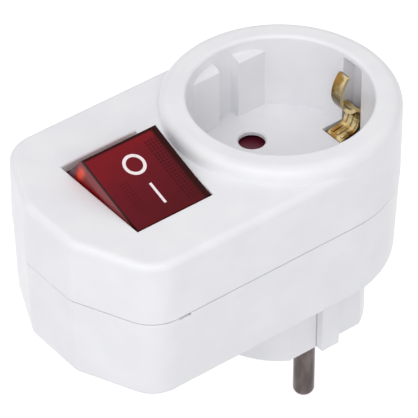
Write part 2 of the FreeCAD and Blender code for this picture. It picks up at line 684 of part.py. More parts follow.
def load_terminal(pole_x):
    """Fixed contact under the seesaw's closed end, on an upright tab."""
    y, z = load_button_place()
    top = z - CONTACT_GAP
    half = SEESAW_WIDTH / 2
    tab = box(pole_x - half, pole_x + half, y - SHEET / 2, y + SHEET / 2,
              LOAD_LEVEL + SHEET, top - BUTTON_HEIGHT - SHEET)
    shelf = box(pole_x - half, pole_x + half, y - half, y + half,
                top - BUTTON_HEIGHT - SHEET, top - BUTTON_HEIGHT)
    foot = box(pole_x - half, pole_x + half, y - SHEET / 2, y + 2 * SHEET,
               LOAD_LEVEL + SHEET, LOAD_LEVEL + 2 * SHEET)
    button = rod(BUTTON_RADIUS, top - BUTTON_HEIGHT, top, pole_x, y)
    return clean(tab.fuse(shelf).fuse(foot).fuse(button))


def load_busbar(side, route):
    """From a contact tube, down and along the body, to a load terminal."""
    y = side * PIN_Y
    half = STRIP_WIDTH / 2
    step = SHEET / 2
    bore = rod(TUBE_RADIUS + PIN_FIT, 0, RIM_Z, 0, y)
    bar = lug(y, TUBE_RADIUS + PIN_FIT, LOAD_LUG_Z)
    bar = bar.fuse(box(LOAD_DROP_X - step, 0, y - half, y + half,
                       LOAD_LUG_Z, LOAD_LUG_Z + SHEET).cut(bore))
    bar = bar.fuse(box(LOAD_DROP_X - step, LOAD_DROP_X + step, y - half, y + half,
                       LOAD_LEVEL, LOAD_LUG_Z + SHEET))
    points = [(LOAD_DROP_X - half, y)] + route
    for (x0, y0), (x1, y1) in zip(points, points[1:]):
        bar = bar.fuse(strip_run(x0, y0, x1, y1, LOAD_LEVEL))
    return clean(bar.fuse(box(LOAD_DROP_X - half, LOAD_DROP_X + step, y - half, y + half,
                              LOAD_LEVEL, LOAD_LEVEL + SHEET)))


def socket_contact(side):
    """Slit spring tube that grips a pin, with a funnel mouth."""
    y = side * PIN_Y
    bore = PIN_RADIUS + PIN_FIT
    tube = rod(TUBE_RADIUS, TUBE_BOTTOM, TUBE_TOP, 0, y)
    tube = tube.cut(rod(bore, TUBE_BOTTOM - 1, TUBE_TOP + 1, 0, y))
    mouth = Part.makeCone(bore, TUBE_RADIUS - 0.1, SHEET, V(0, y, TUBE_TOP - SHEET), Z_AXIS)
    half = TUBE_SLIT / 2
    reach = side * (TUBE_RADIUS + 1)
    y0, y1 = sorted((y, y + reach))
    slit = box(-half, half, y0, y1, TUBE_BOTTOM + 2 * SHEET, TUBE_TOP + 1)
    return clean(tube.cut(mouth).cut(slit))


def contact_holder():
    """Insulating bridge on the tub's floor, with a tower round each contact tube."""
    plate_top = TUB_FLOOR_Z + HOLDER_PLATE
    holder = box(-HOLDER_HALF_WIDTH, HOLDER_HALF_WIDTH, -HOLDER_HALF_LENGTH,
                 HOLDER_HALF_LENGTH, TUB_FLOOR_Z, plate_top)
    for side in (1, -1):
        y = side * PIN_Y
        holder = holder.fuse(rod(TOWER_RADIUS, TUB_FLOOR_Z, TOWER_TOP, 0, y))
        holder = holder.cut(rod(PIN_RADIUS + SLIDE_GAP, TUB_FLOOR_Z - 1, TUBE_BOTTOM + 1, 0, y))
        holder = holder.cut(rod(TUBE_RADIUS + SEAT_GAP, TUBE_BOTTOM, TOWER_TOP + 1, 0, y))
    return clean(holder)


def sector(radius, centre_angle, half_angle, z0, z1):
    """Pie slice about the origin."""
    piece = Part.makeCylinder(radius, z1 - z0, V(0, 0, z0), Z_AXIS, 2 * half_angle)
    piece.rotate(V(0, 0, 0), Z_AXIS, centre_angle - half_angle)
    return piece


def shutter_ramp():
    """Wedge over a wing: an entering pin presses on the slope and turns the shutter."""
    reach = SHUTTER_RADIUS * math.sin(math.radians(SHUTTER_HALF_ANGLE))
    wedge = [
        (-reach, SHUTTER_TOP),
        (reach, SHUTTER_TOP - SHUTTER_RAMP_DROP),
        (reach + 1, SHUTTER_TOP - SHUTTER_RAMP_DROP),
        (reach + 1, SHUTTER_TOP + 1),
        (-reach, SHUTTER_TOP + 1),
    ]
    return extrude_xz(wedge, SHUTTER_RAMP_INNER, SHUTTER_RADIUS + 1)


def shutter():
    """Two-winged disc that closes both contact holes, each wing sloped on top."""
    disc = rod(SHUTTER_HUB_RADIUS, SHUTTER_BOTTOM, SHUTTER_TOP)
    for turn in (0, 180):
        wing = sector(SHUTTER_RADIUS, 90, SHUTTER_HALF_ANGLE, SHUTTER_BOTTOM, SHUTTER_TOP)
        wing = wing.cut(shutter_ramp())
        wing.rotate(V(0, 0, 0), Z_AXIS, turn)
        disc = disc.fuse(wing)
    disc = disc.cut(rod(SHUTTER_POST_RADIUS + PIVOT_FIT, SHUTTER_BOTTOM - 1, SHUTTER_TOP + 1))
    leg_hole = rod(RETURN_SPRING_WIRE + SEAT_GAP, SHUTTER_BOTTOM - 1,
                   SHUTTER_TOP - SHUTTER_THICKNESS / 3, 0, RETURN_SPRING_RADIUS)
    return clean(disc.cut(leg_hole))


def shutter_carrier():
    """Plate under the shutter with the pivot post and a seat for the return spring."""
    plate = rod(CARRIER_RADIUS, CARRIER_PLATE_BOTTOM, CARRIER_PLATE_TOP)
    plate = plate.common(box(-CARRIER_HALF_WIDTH, CARRIER_HALF_WIDTH, -CARRIER_RADIUS,
                             CARRIER_RADIUS, CARRIER_PLATE_BOTTOM, CARRIER_PLATE_TOP))
    plate = plate.fuse(rod(SHUTTER_POST_RADIUS, CARRIER_PLATE_TOP - 1,
                           FLOOR_Z - CUP_FLOOR_SKIN - SHUTTER_POST_END_GAP))
    for side in (1, -1):
        plate = plate.cut(rod(CARRIER_HOLE_RADIUS, 0, RIM_Z, 0, side * PIN_Y))
    for x, y in carrier_boss_places():
        plate = plate.cut(rod(CASE_SCREW_RADIUS + SEAT_GAP, 0, RIM_Z, x, y))
    room = RETURN_SPRING_WIRE + SEAT_GAP
    seat_z = CARRIER_PLATE_TOP - 2 * room
    seat = rod(RETURN_SPRING_RADIUS + room, seat_z, CARRIER_PLATE_TOP + 1)
    seat = seat.cut(rod(RETURN_SPRING_RADIUS - room, seat_z - 1, CARRIER_PLATE_TOP + 2))
    leg = box(RETURN_SPRING_RADIUS, RETURN_SPRING_RADIUS + 2.4, -room, room,
              seat_z, CARRIER_PLATE_TOP + 1)
    return clean(plate.cut(seat).cut(leg))


def carrier_screws():
    """Two screws that hold the shutter carrier under the cup's floor."""
    return Part.makeCompound([
        screw(x, y, CARRIER_PLATE_BOTTOM - CASE_SCREW_HEAD_HEIGHT,
              FLOOR_Z - CUP_FLOOR_SKIN - SEAT_GAP,
              CASE_SCREW_RADIUS, CASE_SCREW_HEAD_RADIUS, CASE_SCREW_HEAD_HEIGHT)
        for x, y in carrier_boss_places()
    ])


def shutter_spring():
    """Return spring of the shutter: one ring with a leg up and a leg out."""
    z = CARRIER_PLATE_TOP - RETURN_SPRING_WIRE - SEAT_GAP
    ring = Part.makeTorus(RETURN_SPRING_RADIUS, RETURN_SPRING_WIRE, V(0, 0, z), Z_AXIS)
    up = rod(RETURN_SPRING_LEG, z, SHUTTER_BOTTOM + SHUTTER_THICKNESS / 2, 0,
             RETURN_SPRING_RADIUS)
    out = rod_x(RETURN_SPRING_LEG, RETURN_SPRING_RADIUS, RETURN_SPRING_RADIUS + 2.2, 0, z)
    return clean(ring.fuse(up).fuse(out))


def thick_path(points, thickness):
    """Outline polygon of a bent strip along (x, z) points, thickness to the left of travel."""
    offset = []
    for index, (x, z) in enumerate(points):
        before = points[max(index - 1, 0)]
        after = points[min(index + 1, len(points) - 1)]
        first = (x - before[0], z - before[1]) if index else (after[0] - x, after[1] - z)
        second = (after[0] - x, after[1] - z) if index < len(points) - 1 else first
        normals = []
        for dx, dz in (first, second):
            length = math.hypot(dx, dz)
            normals.append((-dz / length, dx / length))
        nx = (normals[0][0] + normals[1][0]) / 2
        nz = (normals[0][1] + normals[1][1]) / 2
        scale = thickness / (nx * nx + nz * nz)
        offset.append((x + nx * scale, z + nz * scale))
    return points + offset[::-1]


def smooth(points, steps=5):
    """Round a polyline's inner corners with quadratic curves between its middles."""
    curve = [points[0]]
    for index in range(1, len(points) - 1):
        a = points[index - 1]
        b = points[index]
        c = points[index + 1]
        start = ((a[0] + b[0]) / 2, (a[1] + b[1]) / 2)
        end = ((b[0] + c[0]) / 2, (b[1] + c[1]) / 2)
        for step in range(steps + 1):
            t = step / steps
            x = (1 - t) ** 2 * start[0] + 2 * t * (1 - t) * b[0] + t * t * end[0]
            z = (1 - t) ** 2 * start[1] + 2 * t * (1 - t) * b[1] + t * t * end[1]
            curve.append((x, z))
    curve.append(points[-1])
    tidy = [curve[0]]
    for point in curve[1:]:
        if math.hypot(point[0] - tidy[-1][0], point[1] - tidy[-1][1]) > 0.05:
            tidy.append(point)
    return tidy


def clip_path(lean_out):
    """Inner face of an earth clip, from its foot up to its tongue's tip."""
    inner = CUP_RADIUS + lean_out
    return smooth([
        (CLIP_FOOT_X, CLIP_AXIS_Z),
        (CLIP_FOOT_X, FLOOR_Z - CLIP_HEEL_DROP),
        (CUP_RADIUS - CLIP_HEEL_IN, FLOOR_Z - CLIP_SWEEP_DROP),
        (CUP_RADIUS - CLIP_SWEEP_IN, FLOOR_Z + CLIP_SWEEP_RISE),
        (CUP_RADIUS + CLIP_BULGE_OUT, FLOOR_Z + CLIP_BULGE_RISE),
        (inner - CLIP_BEND_IN, FLOOR_Z + CLIP_BEND_RISE),
        (inner - CLIP_BELLY_IN, FLOOR_Z + CLIP_BELLY_RISE),
        (inner - CLIP_NECK_IN, FLOOR_Z + CLIP_NECK_RISE),
        (inner - CLIP_BEND_IN, FLOOR_Z + CLIP_CREST_RISE),
    ])


def clip_front():
    """Front view of the clip as a prism: wide below, narrow at the rounded tip."""
    half = EARTH_WIDTH / 2
    tip = CLIP_TIP_HALF_WIDTH
    top = FLOOR_Z + CLIP_TIP_RISE
    right = [
        (half, CLIP_AXIS_Z - 1),
        (half, CLIP_WAIST_Z),
        (tip, FLOOR_Z + CLIP_SHOULDER_RISE),
        (tip, top - CLIP_TIP_CUT),
        (tip - 0.3, top - 0.5),
        (tip - 0.8, top),
    ]
    left = [(-y, z) for y, z in reversed(right)]
    return extrude_yz(right + left, 0, CUP_OUTER_RADIUS)


def earth_clip(side):
    """Sprung brass clip in the cup's wall slot, hinged on a rolled foot with two journals."""
    half = EARTH_WIDTH / 2
    path = clip_path(CLIP_LEFT_LEAN_OUT if side < 0 else 0)
    clip = extrude_xz(thick_path(path, -SHEET), -half, half)
    sweep = [p for p in path if FLOOR_Z - 0.5 < p[1] < CLIP_WAIST_Z]
    ridge = thick_path(sweep, CLIP_RIDGE_HEIGHT)
    for place in (-1, 0, 1):
        middle = place * CLIP_RIDGE_PITCH
        rib = extrude_xz(ridge, middle - CLIP_RIDGE_WIDTH / 2, middle + CLIP_RIDGE_WIDTH / 2)
        clip = clip.fuse(rib)
    clip = clip.common(clip_front())
    foot = V(CLIP_AXIS_X, 0, CLIP_AXIS_Z)
    clip = clip.fuse(rod_y(CLIP_ROLL_RADIUS, half, foot))
    clip = clip.fuse(rod_y(CLIP_JOURNAL_RADIUS, half + SEAT_GAP + CLIP_EAR, foot))
    if side < 0:
        clip = clip.mirror(V(0, 0, 0), X_AXIS)
    return clean(clip)


def bridge_ear(side, end):
    """Upright ear of the earth bridge with a hole for a clip's journal."""
    inner = EARTH_WIDTH / 2 + SEAT_GAP
    y0, y1 = sorted((end * inner, end * (inner + CLIP_EAR)))
    x = side * CLIP_AXIS_X
    ear = box(x - CLIP_ROLL_RADIUS, x + CLIP_ROLL_RADIUS, y0, y1, EARTH_BRIDGE_Z, CLIP_AXIS_Z)
    top = Part.makeCylinder(CLIP_ROLL_RADIUS, y1 - y0, V(x, y0, CLIP_AXIS_Z), Y_AXIS)
    hole = Part.makeCylinder(CLIP_JOURNAL_RADIUS + PIVOT_FIT, y1 - y0 + 2,
                             V(x, y0 - 1, CLIP_AXIS_Z), Y_AXIS)
    return ear.fuse(top).cut(hole)


def earth_bridge():
    """Brass bridge under the shutter carrier, with a pair of ears for each clip."""
    half = EARTH_WIDTH / 2
    outer = half + SEAT_GAP + CLIP_EAR
    bridge = box(-EARTH_BRIDGE_HALF, EARTH_BRIDGE_HALF, -half, half,
                 EARTH_BRIDGE_Z, EARTH_BRIDGE_Z + SHEET)
    for side in (1, -1):
        x = side * CLIP_AXIS_X
        bridge = bridge.fuse(box(x - CLIP_ROLL_RADIUS, x + CLIP_ROLL_RADIUS, -outer, outer,
                                 EARTH_BRIDGE_Z, EARTH_BRIDGE_Z + SHEET))
        for end in (1, -1):
            bridge = bridge.fuse(bridge_ear(side, end))
    return clean(bridge)


def plug_earth_strip(side):
    """Brass strip in the plug's side channel, bent in under the earth bridge."""
    half = EARTH_WIDTH / 2
    inner = STRIP_OUTER_X - STRIP_THICKNESS
    x0, x1 = sorted((side * inner, side * STRIP_OUTER_X))
    strip = box(x0, x1, -half, half, STRIP_BOTTOM, EARTH_BRIDGE_Z)
    x0, x1 = sorted((side * (EARTH_BRIDGE_HALF - EARTH_OVERLAP), side * STRIP_OUTER_X))
    return clean(strip.fuse(box(x0, x1, -half, half, EARTH_BRIDGE_Z - STRIP_THICKNESS,
                                EARTH_BRIDGE_Z)))


def switch_housing():
    """Black box under the deck that carries the rocker and the terminals."""
    gap = SWITCH_BORE_GAP
    inner_x0 = RECESS_X_MIN - gap
    inner_x1 = RECESS_X_MAX + gap
    inner_y = RECESS_HALF_LENGTH + gap
    outer_y = inner_y + SWITCH_WALL
    housing = box(inner_x0 - SWITCH_WALL, inner_x1 + SWITCH_WALL, -outer_y, outer_y,
                  SWITCH_FLOOR_Z, DECK_UNDER_Z)
    housing = housing.cut(box(inner_x0, inner_x1, -inner_y, inner_y,
                              SWITCH_FLOOR_Z + SWITCH_FLOOR, DECK_UNDER_Z + 1))
    ear_top = DECK_Z - EAR_DROP
    for side in (1, -1):
        y = side * EAR_Y
        y0, y1 = sorted((side * (inner_y + SWITCH_WALL / 2), y))
        ear = box(SWITCH_X - EAR_RADIUS, SWITCH_X + EAR_RADIUS, y0, y1,
                  ear_top - EAR_THICKNESS, ear_top)
        housing = housing.fuse(ear)
        housing = housing.fuse(rod(EAR_RADIUS, ear_top - EAR_THICKNESS, ear_top, SWITCH_X, y))
        housing = housing.cut(rod(CASE_SCREW_RADIUS + SEAT_GAP, ear_top - 3, ear_top + 1,
                                  SWITCH_X, y))
    half = SEESAW_WIDTH / 2 + SEAT_GAP
    load_y = load_button_place()[0]
    for pole_x in POLE_X:
        for y in (0, load_y):
            housing = housing.cut(box(pole_x - half, pole_x + half, y - SHEET / 2 - SEAT_GAP,
                                      y + SHEET / 2 + SEAT_GAP, SWITCH_FLOOR_Z - 1,
                                      SWITCH_FLOOR_Z + SWITCH_FLOOR + 1))
    pivot_hole = rod_x(PIVOT_RADIUS + PIVOT_FIT, inner_x0 - SWITCH_WALL - 1,
                       inner_x1 + SWITCH_WALL + 1, 0, PIVOT_Z)
    return clean(housing.cut(pivot_hole))


def rocker_pivots():
    """Two short pins between the housing's side walls and the rocker's hubs."""
    reach_out = SWITCH_WALL + SWITCH_BORE_GAP
    left = rod_x(PIVOT_RADIUS, RECESS_X_MIN - reach_out, ROCKER_X_MIN + ROCKER_WALL, 0, PIVOT_Z)
    right = rod_x(PIVOT_RADIUS, ROCKER_X_MAX - ROCKER_WALL, RECESS_X_MAX + reach_out, 0, PIVOT_Z)
    return Part.makeCompound([left, right])


def switch_screws():
    """Two screws that hold the switch housing under the deck."""
    ear_top = DECK_Z - EAR_DROP
    return Part.makeCompound([
        screw(SWITCH_X, side * EAR_Y, ear_top - EAR_THICKNESS - CASE_SCREW_HEAD_HEIGHT,
              ear_top + SWITCH_SCREW_BITE - SEAT_GAP, CASE_SCREW_RADIUS,
              CASE_SCREW_HEAD_RADIUS, CASE_SCREW_HEAD_HEIGHT)
        for side in (1, -1)
    ])


def rocker_section(inset, x0, x1, skirt):
    """Level rocker's cross-section as a prism: hollow face, sloped ends, round skirts."""
    radius = ROCKER_RADIUS - inset
    top = FACE_HEIGHT - inset
    edge_y = (radius - top * math.sin(TILT)) / math.cos(TILT)
    foot_y = radius * math.cos(TILT)
    foot_z = radius * math.sin(TILT)
    low_y = math.sqrt(radius ** 2 - skirt ** 2)
    turn = (TILT - math.asin(skirt / radius)) / 2
    middle_y = radius * math.cos(turn)
    middle_z = radius * math.sin(turn)

    def at(y, z):
        return V(x0, y, PIVOT_Z + z)

    edges = [
        Part.Arc(at(edge_y, top), at(0, top - ROCKER_FACE_HOLLOW), at(-edge_y, top)).toShape(),
        Part.LineSegment(at(-edge_y, top), at(-foot_y, foot_z)).toShape(),
        Part.Arc(at(-foot_y, foot_z), at(-middle_y, middle_z), at(-low_y, -skirt)).toShape(),
        Part.LineSegment(at(-low_y, -skirt), at(low_y, -skirt)).toShape(),
        Part.Arc(at(low_y, -skirt), at(middle_y, middle_z), at(foot_y, foot_z)).toShape(),
        Part.LineSegment(at(foot_y, foot_z), at(edge_y, top)).toShape(),
    ]
    return Part.Face(Part.Wire(edges)).extrude(V(x1 - x0, 0, 0))


def rocker():
    """Translucent rocker shell with pivot hubs and a barrel for each plunger."""
    shell = rocker_section(0, ROCKER_X_MIN, ROCKER_X_MAX, ROCKER_SKIRT)
    top_edges = []
    for edge in shell.Edges:
        bounds = edge.BoundBox
        if bounds.ZMin > PIVOT_Z + FACE_HEIGHT - ROCKER_FACE_HOLLOW - 0.01:
            top_edges.append(edge)
    shell = shell.makeFillet(ROCKER_EDGE_ROUNDING, top_edges)
    shell = shell.cut(rocker_section(ROCKER_WALL, ROCKER_X_MIN + ROCKER_WALL,
                                     ROCKER_X_MAX - ROCKER_WALL, ROCKER_SKIRT + 0.5))
    shell = shell.fuse(rod_x(ROCKER_HUB_RADIUS, ROCKER_X_MIN, ROCKER_X_MIN + ROCKER_WALL,
                             0, PIVOT_Z))
    shell = shell.fuse(rod_x(ROCKER_HUB_RADIUS, ROCKER_X_MAX - ROCKER_WALL, ROCKER_X_MAX,
                             0, PIVOT_Z))
    for pole_x in POLE_X:
        barrel = rod(BARREL_RADIUS, PIVOT_Z - BARREL_BOTTOM,
                     PIVOT_Z + FACE_HEIGHT - ROCKER_FACE_HOLLOW - 0.5, pole_x, 0)
        shell = shell.fuse(barrel)
        shell = shell.cut(rod(BARREL_BORE_RADIUS, PIVOT_Z - BARREL_BOTTOM - 1,
                              PIVOT_Z + BARREL_ROOF, pole_x, 0))
    shell = shell.cut(rod_x(PIVOT_RADIUS + PIVOT_FIT, ROCKER_X_MIN - 1,
                            ROCKER_X_MIN + ROCKER_WALL + 0.5, 0, PIVOT_Z))
    shell = shell.cut(rod_x(PIVOT_RADIUS + PIVOT_FIT, ROCKER_X_MAX - ROCKER_WALL - 0.5,
                            ROCKER_X_MAX + 1, 0, PIVOT_Z))
    return tilted(clean(shell))


def plunger(pole_x):
    """Round-nosed plunger in a rocker barrel."""
    tip_z = PIVOT_Z - PLUNGER_REACH
    shaft = rod(PLUNGER_RADIUS, tip_z + PLUNGER_RADIUS, PIVOT_Z + PLUNGER_TOP, pole_x, 0)
    nose = Part.makeSphere(PLUNGER_RADIUS, V(pole_x, 0, tip_z + PLUNGER_RADIUS))
    return tilted(clean(shaft.fuse(nose)))


def plunger_spring(pole_x):
    """Coil spring between a plunger's top and the roof of its barrel."""
    start = PIVOT_Z + PLUNGER_TOP + SPRING_WIRE_RADIUS + CONTACT_GAP
    end = PIVOT_Z + BARREL_ROOF - SPRING_WIRE_RADIUS - CONTACT_GAP
    pitch = (end - start) / SPRING_TURNS
    helix = Part.makeHelix(pitch, end - start, SPRING_COIL_RADIUS)
    wire = Part.Wire(helix.Edges)
    section = Part.Wire(Part.makeCircle(SPRING_WIRE_RADIUS, V(SPRING_COIL_RADIUS, 0, 0),
                                        V(0, SPRING_COIL_RADIUS * 2 * math.pi, pitch)))
    coil = wire.makePipeShell([section], True, True)
    coil.translate(V(pole_x, 0, start))
    return tilted(coil)


def seesaw(pole_x):
    """Rocking contact: two arms that rise outward, with a button under the closing end."""
    rise = math.radians(SEESAW_RISE_ANGLE)
    reach = SEESAW_ARM * math.cos(rise)
    lift = SEESAW_ARM * math.sin(rise)
    thick = SHEET / math.cos(rise)
    arms = extrude_yz([
        (0, FULCRUM_Z),
        (reach, FULCRUM_Z + lift),
        (reach, FULCRUM_Z + lift + thick),
        (0, FULCRUM_Z + thick),
        (-reach, FULCRUM_Z + lift + thick),
        (-reach, FULCRUM_Z + lift),
    ], pole_x - SEESAW_WIDTH / 2, pole_x + SEESAW_WIDTH / 2)
    under = V(pole_x, BUTTON_ARM * math.cos(rise), FULCRUM_Z + BUTTON_ARM * math.sin(rise))
    down = V(0, math.sin(rise), -math.cos(rise))
    inside = under - down * (SHEET / 2)
    button = Part.makeCylinder(BUTTON_RADIUS, BUTTON_HEIGHT + SHEET / 2, inside, down)
    plate = clean(arms.fuse(button))
    plate.rotate(V(0, 0, FULCRUM_Z), X_AXIS, -SEESAW_TILT)
    return plate


def neon_lamp():
    """Small glass lamp with domed ends, lying along the raised end of the rocker."""
    y = LAMP_OWN_Y
    z = PIVOT_Z + LAMP_OWN_Z
    x1 = LAMP_X_MIN + LAMP_LENGTH
    bulb = rod_x(LAMP_RADIUS, LAMP_X_MIN + LAMP_RADIUS, x1, y, z)
    bulb = bulb.fuse(Part.makeSphere(LAMP_RADIUS, V(LAMP_X_MIN + LAMP_RADIUS, y, z)))
    return tilted(clean(bulb))


def lamp_resistor():
    """Axial series resistor of the lamp."""
    return tilted(rod_x(RESISTOR_RADIUS, RESISTOR_X_MIN, RESISTOR_X_MIN + RESISTOR_LENGTH,
                        RESISTOR_OWN_Y, PIVOT_Z + RESISTOR_OWN_Z))


def wire_through(points):
    """Round wire through points, with ball corners."""
    wire = None
    for a, b in zip(points, points[1:]):
        span = b - a
        piece = Part.makeCylinder(LEAD_RADIUS, span.Length, a, span)
        wire = piece if wire is None else wire.fuse(piece)
    for corner in points[1:-1]:
        wire = wire.fuse(Part.makeSphere(LEAD_RADIUS, corner))
    return clean(wire)


def lamp_leads():
    """Three wires: lamp to resistor, lamp to one barrel, resistor to the other barrel."""
    lamp_end = LAMP_X_MIN + LAMP_LENGTH
    lamp_z = PIVOT_Z + LAMP_OWN_Z
    resistor_end = RESISTOR_X_MIN + RESISTOR_LENGTH
    resistor_z = PIVOT_Z + RESISTOR_OWN_Z
    side_x = ROCKER_X_MAX - ROCKER_WALL - LEAD_RADIUS - CONTACT_GAP * 4
    barrel_y = BARREL_RADIUS + CONTACT_GAP
    upper_y = LAMP_OWN_Y + LEAD_SPREAD
    lower_y = LAMP_OWN_Y - LEAD_SPREAD
    across = wire_through([
        V(lamp_end, upper_y, lamp_z),
        V(side_x, upper_y, lamp_z),
        V(side_x, RESISTOR_OWN_Y, resistor_z),
        V(resistor_end, RESISTOR_OWN_Y, resistor_z),
    ])
    to_right = wire_through([
        V(lamp_end, lower_y, lamp_z),
        V(POLE_X[1], lower_y, lamp_z),
        V(POLE_X[1], barrel_y, lamp_z),
    ])
    to_left = wire_through([
        V(RESISTOR_X_MIN, RESISTOR_OWN_Y, resistor_z),
        V(POLE_X[0], RESISTOR_OWN_Y, resistor_z),
        V(POLE_X[0], -barrel_y, resistor_z),
    ])
    return Part.makeCompound([tilted(wire) for wire in (across, to_right, to_left)])


def build():
    """Every node by name."""
    load_y = RECESS_MIDDLE_Y + load_button_place()[0]
    left, right = POLE_X
    return {
        "upper_shell": upper_shell(),
        "lower_shell": lower_shell(),
        "housing_screws": housing_screws(),
        "plug_pin_front": plug_pin(-1),
        "plug_pin_back": plug_pin(1),
        "pin_carrier": pin_carrier(),
        "feed_busbar_front": feed_busbar(-1, left),
        "feed_busbar_back": feed_busbar(1, right),
        "feed_terminal_left": in_recess(feed_terminal(left)),
        "feed_terminal_right": in_recess(feed_terminal(right)),
        "load_terminal_left": in_recess(load_terminal(left)),
        "load_terminal_right": in_recess(load_terminal(right)),
        "load_busbar_front": load_busbar(-1, [
            (LOAD_CROSS_X, -PIN_Y), (LOAD_CROSS_X, load_y), (left, load_y)]),
        "load_busbar_back": load_busbar(1, [(right, PIN_Y), (right, load_y)]),
        "socket_contact_front": socket_contact(-1),
        "socket_contact_back": socket_contact(1),
        "contact_holder": contact_holder(),
        "shutter": shutter(),
        "shutter_carrier": shutter_carrier(),
        "carrier_screws": carrier_screws(),
        "shutter_spring": shutter_spring(),
        "earth_bridge": earth_bridge(),
        "earth_clip_right": earth_clip(1),
        "earth_clip_left": earth_clip(-1),
        "plug_earth_strip_right": plug_earth_strip(1),
        "plug_earth_strip_left": plug_earth_strip(-1),
        "switch_housing": in_recess(switch_housing()),
        "switch_screws": in_recess(switch_screws()),
        "rocker_pivots": in_recess(rocker_pivots()),
        "rocker": in_recess(rocker()),
        "plunger_left": in_recess(plunger(left)),
        "plunger_right": in_recess(plunger(right)),
        "plunger_spring_left": in_recess(plunger_spring(left)),
        "plunger_spring_right": in_recess(plunger_spring(right)),
        "seesaw_left": in_recess(seesaw(left)),
        "seesaw_right": in_recess(seesaw(right)),
        "neon_lamp": in_recess(neon_lamp()),
        "lamp_resistor": in_recess(lamp_resistor()),
        "lamp_leads": in_recess(lamp_leads()),
    }


def main():
    """Write one STEP file per node and print what each holds."""
    os.makedirs("parts", exist_ok=True)
    for name, shape in build().items():
        shape.exportStep(os.path.join("parts", name + ".step"))
        bounds = shape.BoundBox
        print(f"{name}: solids {len(shape.Solids)} valid {shape.isValid()} "
              f"volume {shape.Volume:.1f} "
              f"x {bounds.XMin:.2f} {bounds.XMax:.2f} y {bounds.YMin:.2f} {bounds.YMax:.2f} "
              f"z {bounds.ZMin:.2f} {bounds.ZMax:.2f}")
    print(f"pivot z {PIVOT_Z:.6f} fulcrum z {FULCRUM_Z:.6f} clip axis x {CLIP_AXIS_X:.4f} "
          f"z {CLIP_AXIS_Z:.4f} shutter z {SHUTTER_BOTTOM:.3f} {SHUTTER_TOP:.3f}")


if __name__ == "__main__":
    main()
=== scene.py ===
"""Looks of a switched socket adapter: white moulded shells, a lit red rocker and brass earth clips.

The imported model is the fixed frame. Each class below dresses one sub-assembly of it, and adds the
printed marks that the frame doesn't carry. All lengths are in metres.
"""

import json
import logging
import math
from dataclasses import dataclass, field
from enum import Enum

import bpy
from mathutils import Matrix, Vector


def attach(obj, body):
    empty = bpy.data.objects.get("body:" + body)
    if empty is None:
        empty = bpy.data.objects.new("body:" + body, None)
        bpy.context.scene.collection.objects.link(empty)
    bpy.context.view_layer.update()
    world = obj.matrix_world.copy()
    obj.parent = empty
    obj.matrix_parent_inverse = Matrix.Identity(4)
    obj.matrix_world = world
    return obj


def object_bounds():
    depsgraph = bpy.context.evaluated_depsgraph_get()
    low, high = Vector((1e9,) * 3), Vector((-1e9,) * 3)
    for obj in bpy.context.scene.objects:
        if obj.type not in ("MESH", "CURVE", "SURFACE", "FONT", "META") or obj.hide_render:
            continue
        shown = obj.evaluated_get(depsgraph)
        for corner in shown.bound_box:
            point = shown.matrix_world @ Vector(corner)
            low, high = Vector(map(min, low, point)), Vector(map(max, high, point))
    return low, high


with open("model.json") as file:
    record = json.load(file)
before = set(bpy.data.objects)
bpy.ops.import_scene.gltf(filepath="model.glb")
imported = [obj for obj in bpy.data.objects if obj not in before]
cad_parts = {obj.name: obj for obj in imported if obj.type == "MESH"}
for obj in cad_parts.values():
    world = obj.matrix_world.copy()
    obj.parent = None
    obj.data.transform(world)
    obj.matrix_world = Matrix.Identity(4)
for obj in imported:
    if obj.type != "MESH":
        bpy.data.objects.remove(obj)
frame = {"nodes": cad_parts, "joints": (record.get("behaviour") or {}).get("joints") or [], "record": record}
CAD_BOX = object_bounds()

LOG = logging.getLogger("adapter")
MM = 0.001
ROCKER_HINGE = next(joint for joint in frame["joints"] if joint["name"] == "rocker_hinge")
ROCKER_PIVOT = tuple(ROCKER_HINGE["pos_m"])
# the rocker rests at one end of its travel, so it leans by half of it
ROCKER_TILT = math.radians(-sum(ROCKER_HINGE["range_deg"]) / 2)
# more than any value that a band is laid along
FAR = 100.0
# a wave texture of scale 1 repeats after this length
WAVE_LENGTH = math.tau / 20
Stretch = tuple[float, float, float]
Place = tuple[float, float, float]


def linear(hex_colour: str, alpha: float = 1.0) -> tuple[float, float, float, float]:
    """Turns an sRGB hex colour into linear red, green, blue and alpha.

    Args:
        hex_colour: six hex digits after a number sign.
        alpha: the fourth value, as it is.

    Returns:
        The four values that a colour socket takes.
    """
    channels = [int(hex_colour[i:i + 2], 16) / 255 for i in (1, 3, 5)]
    red, green, blue = [c / 12.92 if c <= 0.04045 else ((c + 0.055) / 1.055) ** 2.4 for c in channels]
    return red, green, blue, alpha


def add_node(tree: bpy.types.NodeTree, kind: str, settings: dict) -> bpy.types.Node:
    """Adds one shader node with its settings and links.

    Args:
        tree: the node tree that gets the node.
        kind: the node's type, without the words ShaderNode.
        settings: by a socket's name or number, its value or the socket that feeds it; by a
            property's name, its value; and by the word stops, a ramp's places and hex colours.

    Returns:
        The new node.
    """
    node = tree.nodes.new("ShaderNode" + kind)
    for name, value in settings.items():
        if isinstance(value, bpy.types.NodeSocket):
            tree.links.new(value, node.inputs[name])
        elif name == "stops":
            lay_stops(node.color_ramp, value)
        elif isinstance(name, str) and hasattr(node, name):
            setattr(node, name, value)
        else:
            node.inputs[name].default_value = value
    return node


def lay_stops(ramp: bpy.types.ColorRamp, stops: list[tuple[float, str]]) -> None:
    """Sets the stops of a colour ramp.

    Args:
        ramp: the ramp.
        stops: places from 0 to 1 with their hex colours, in order.
    """
    while len(ramp.elements) < len(stops):
        ramp.elements.new(0.5)
    for element, (place, colour) in zip(ramp.elements, stops):
        element.position = place
        element.color = linear(colour)


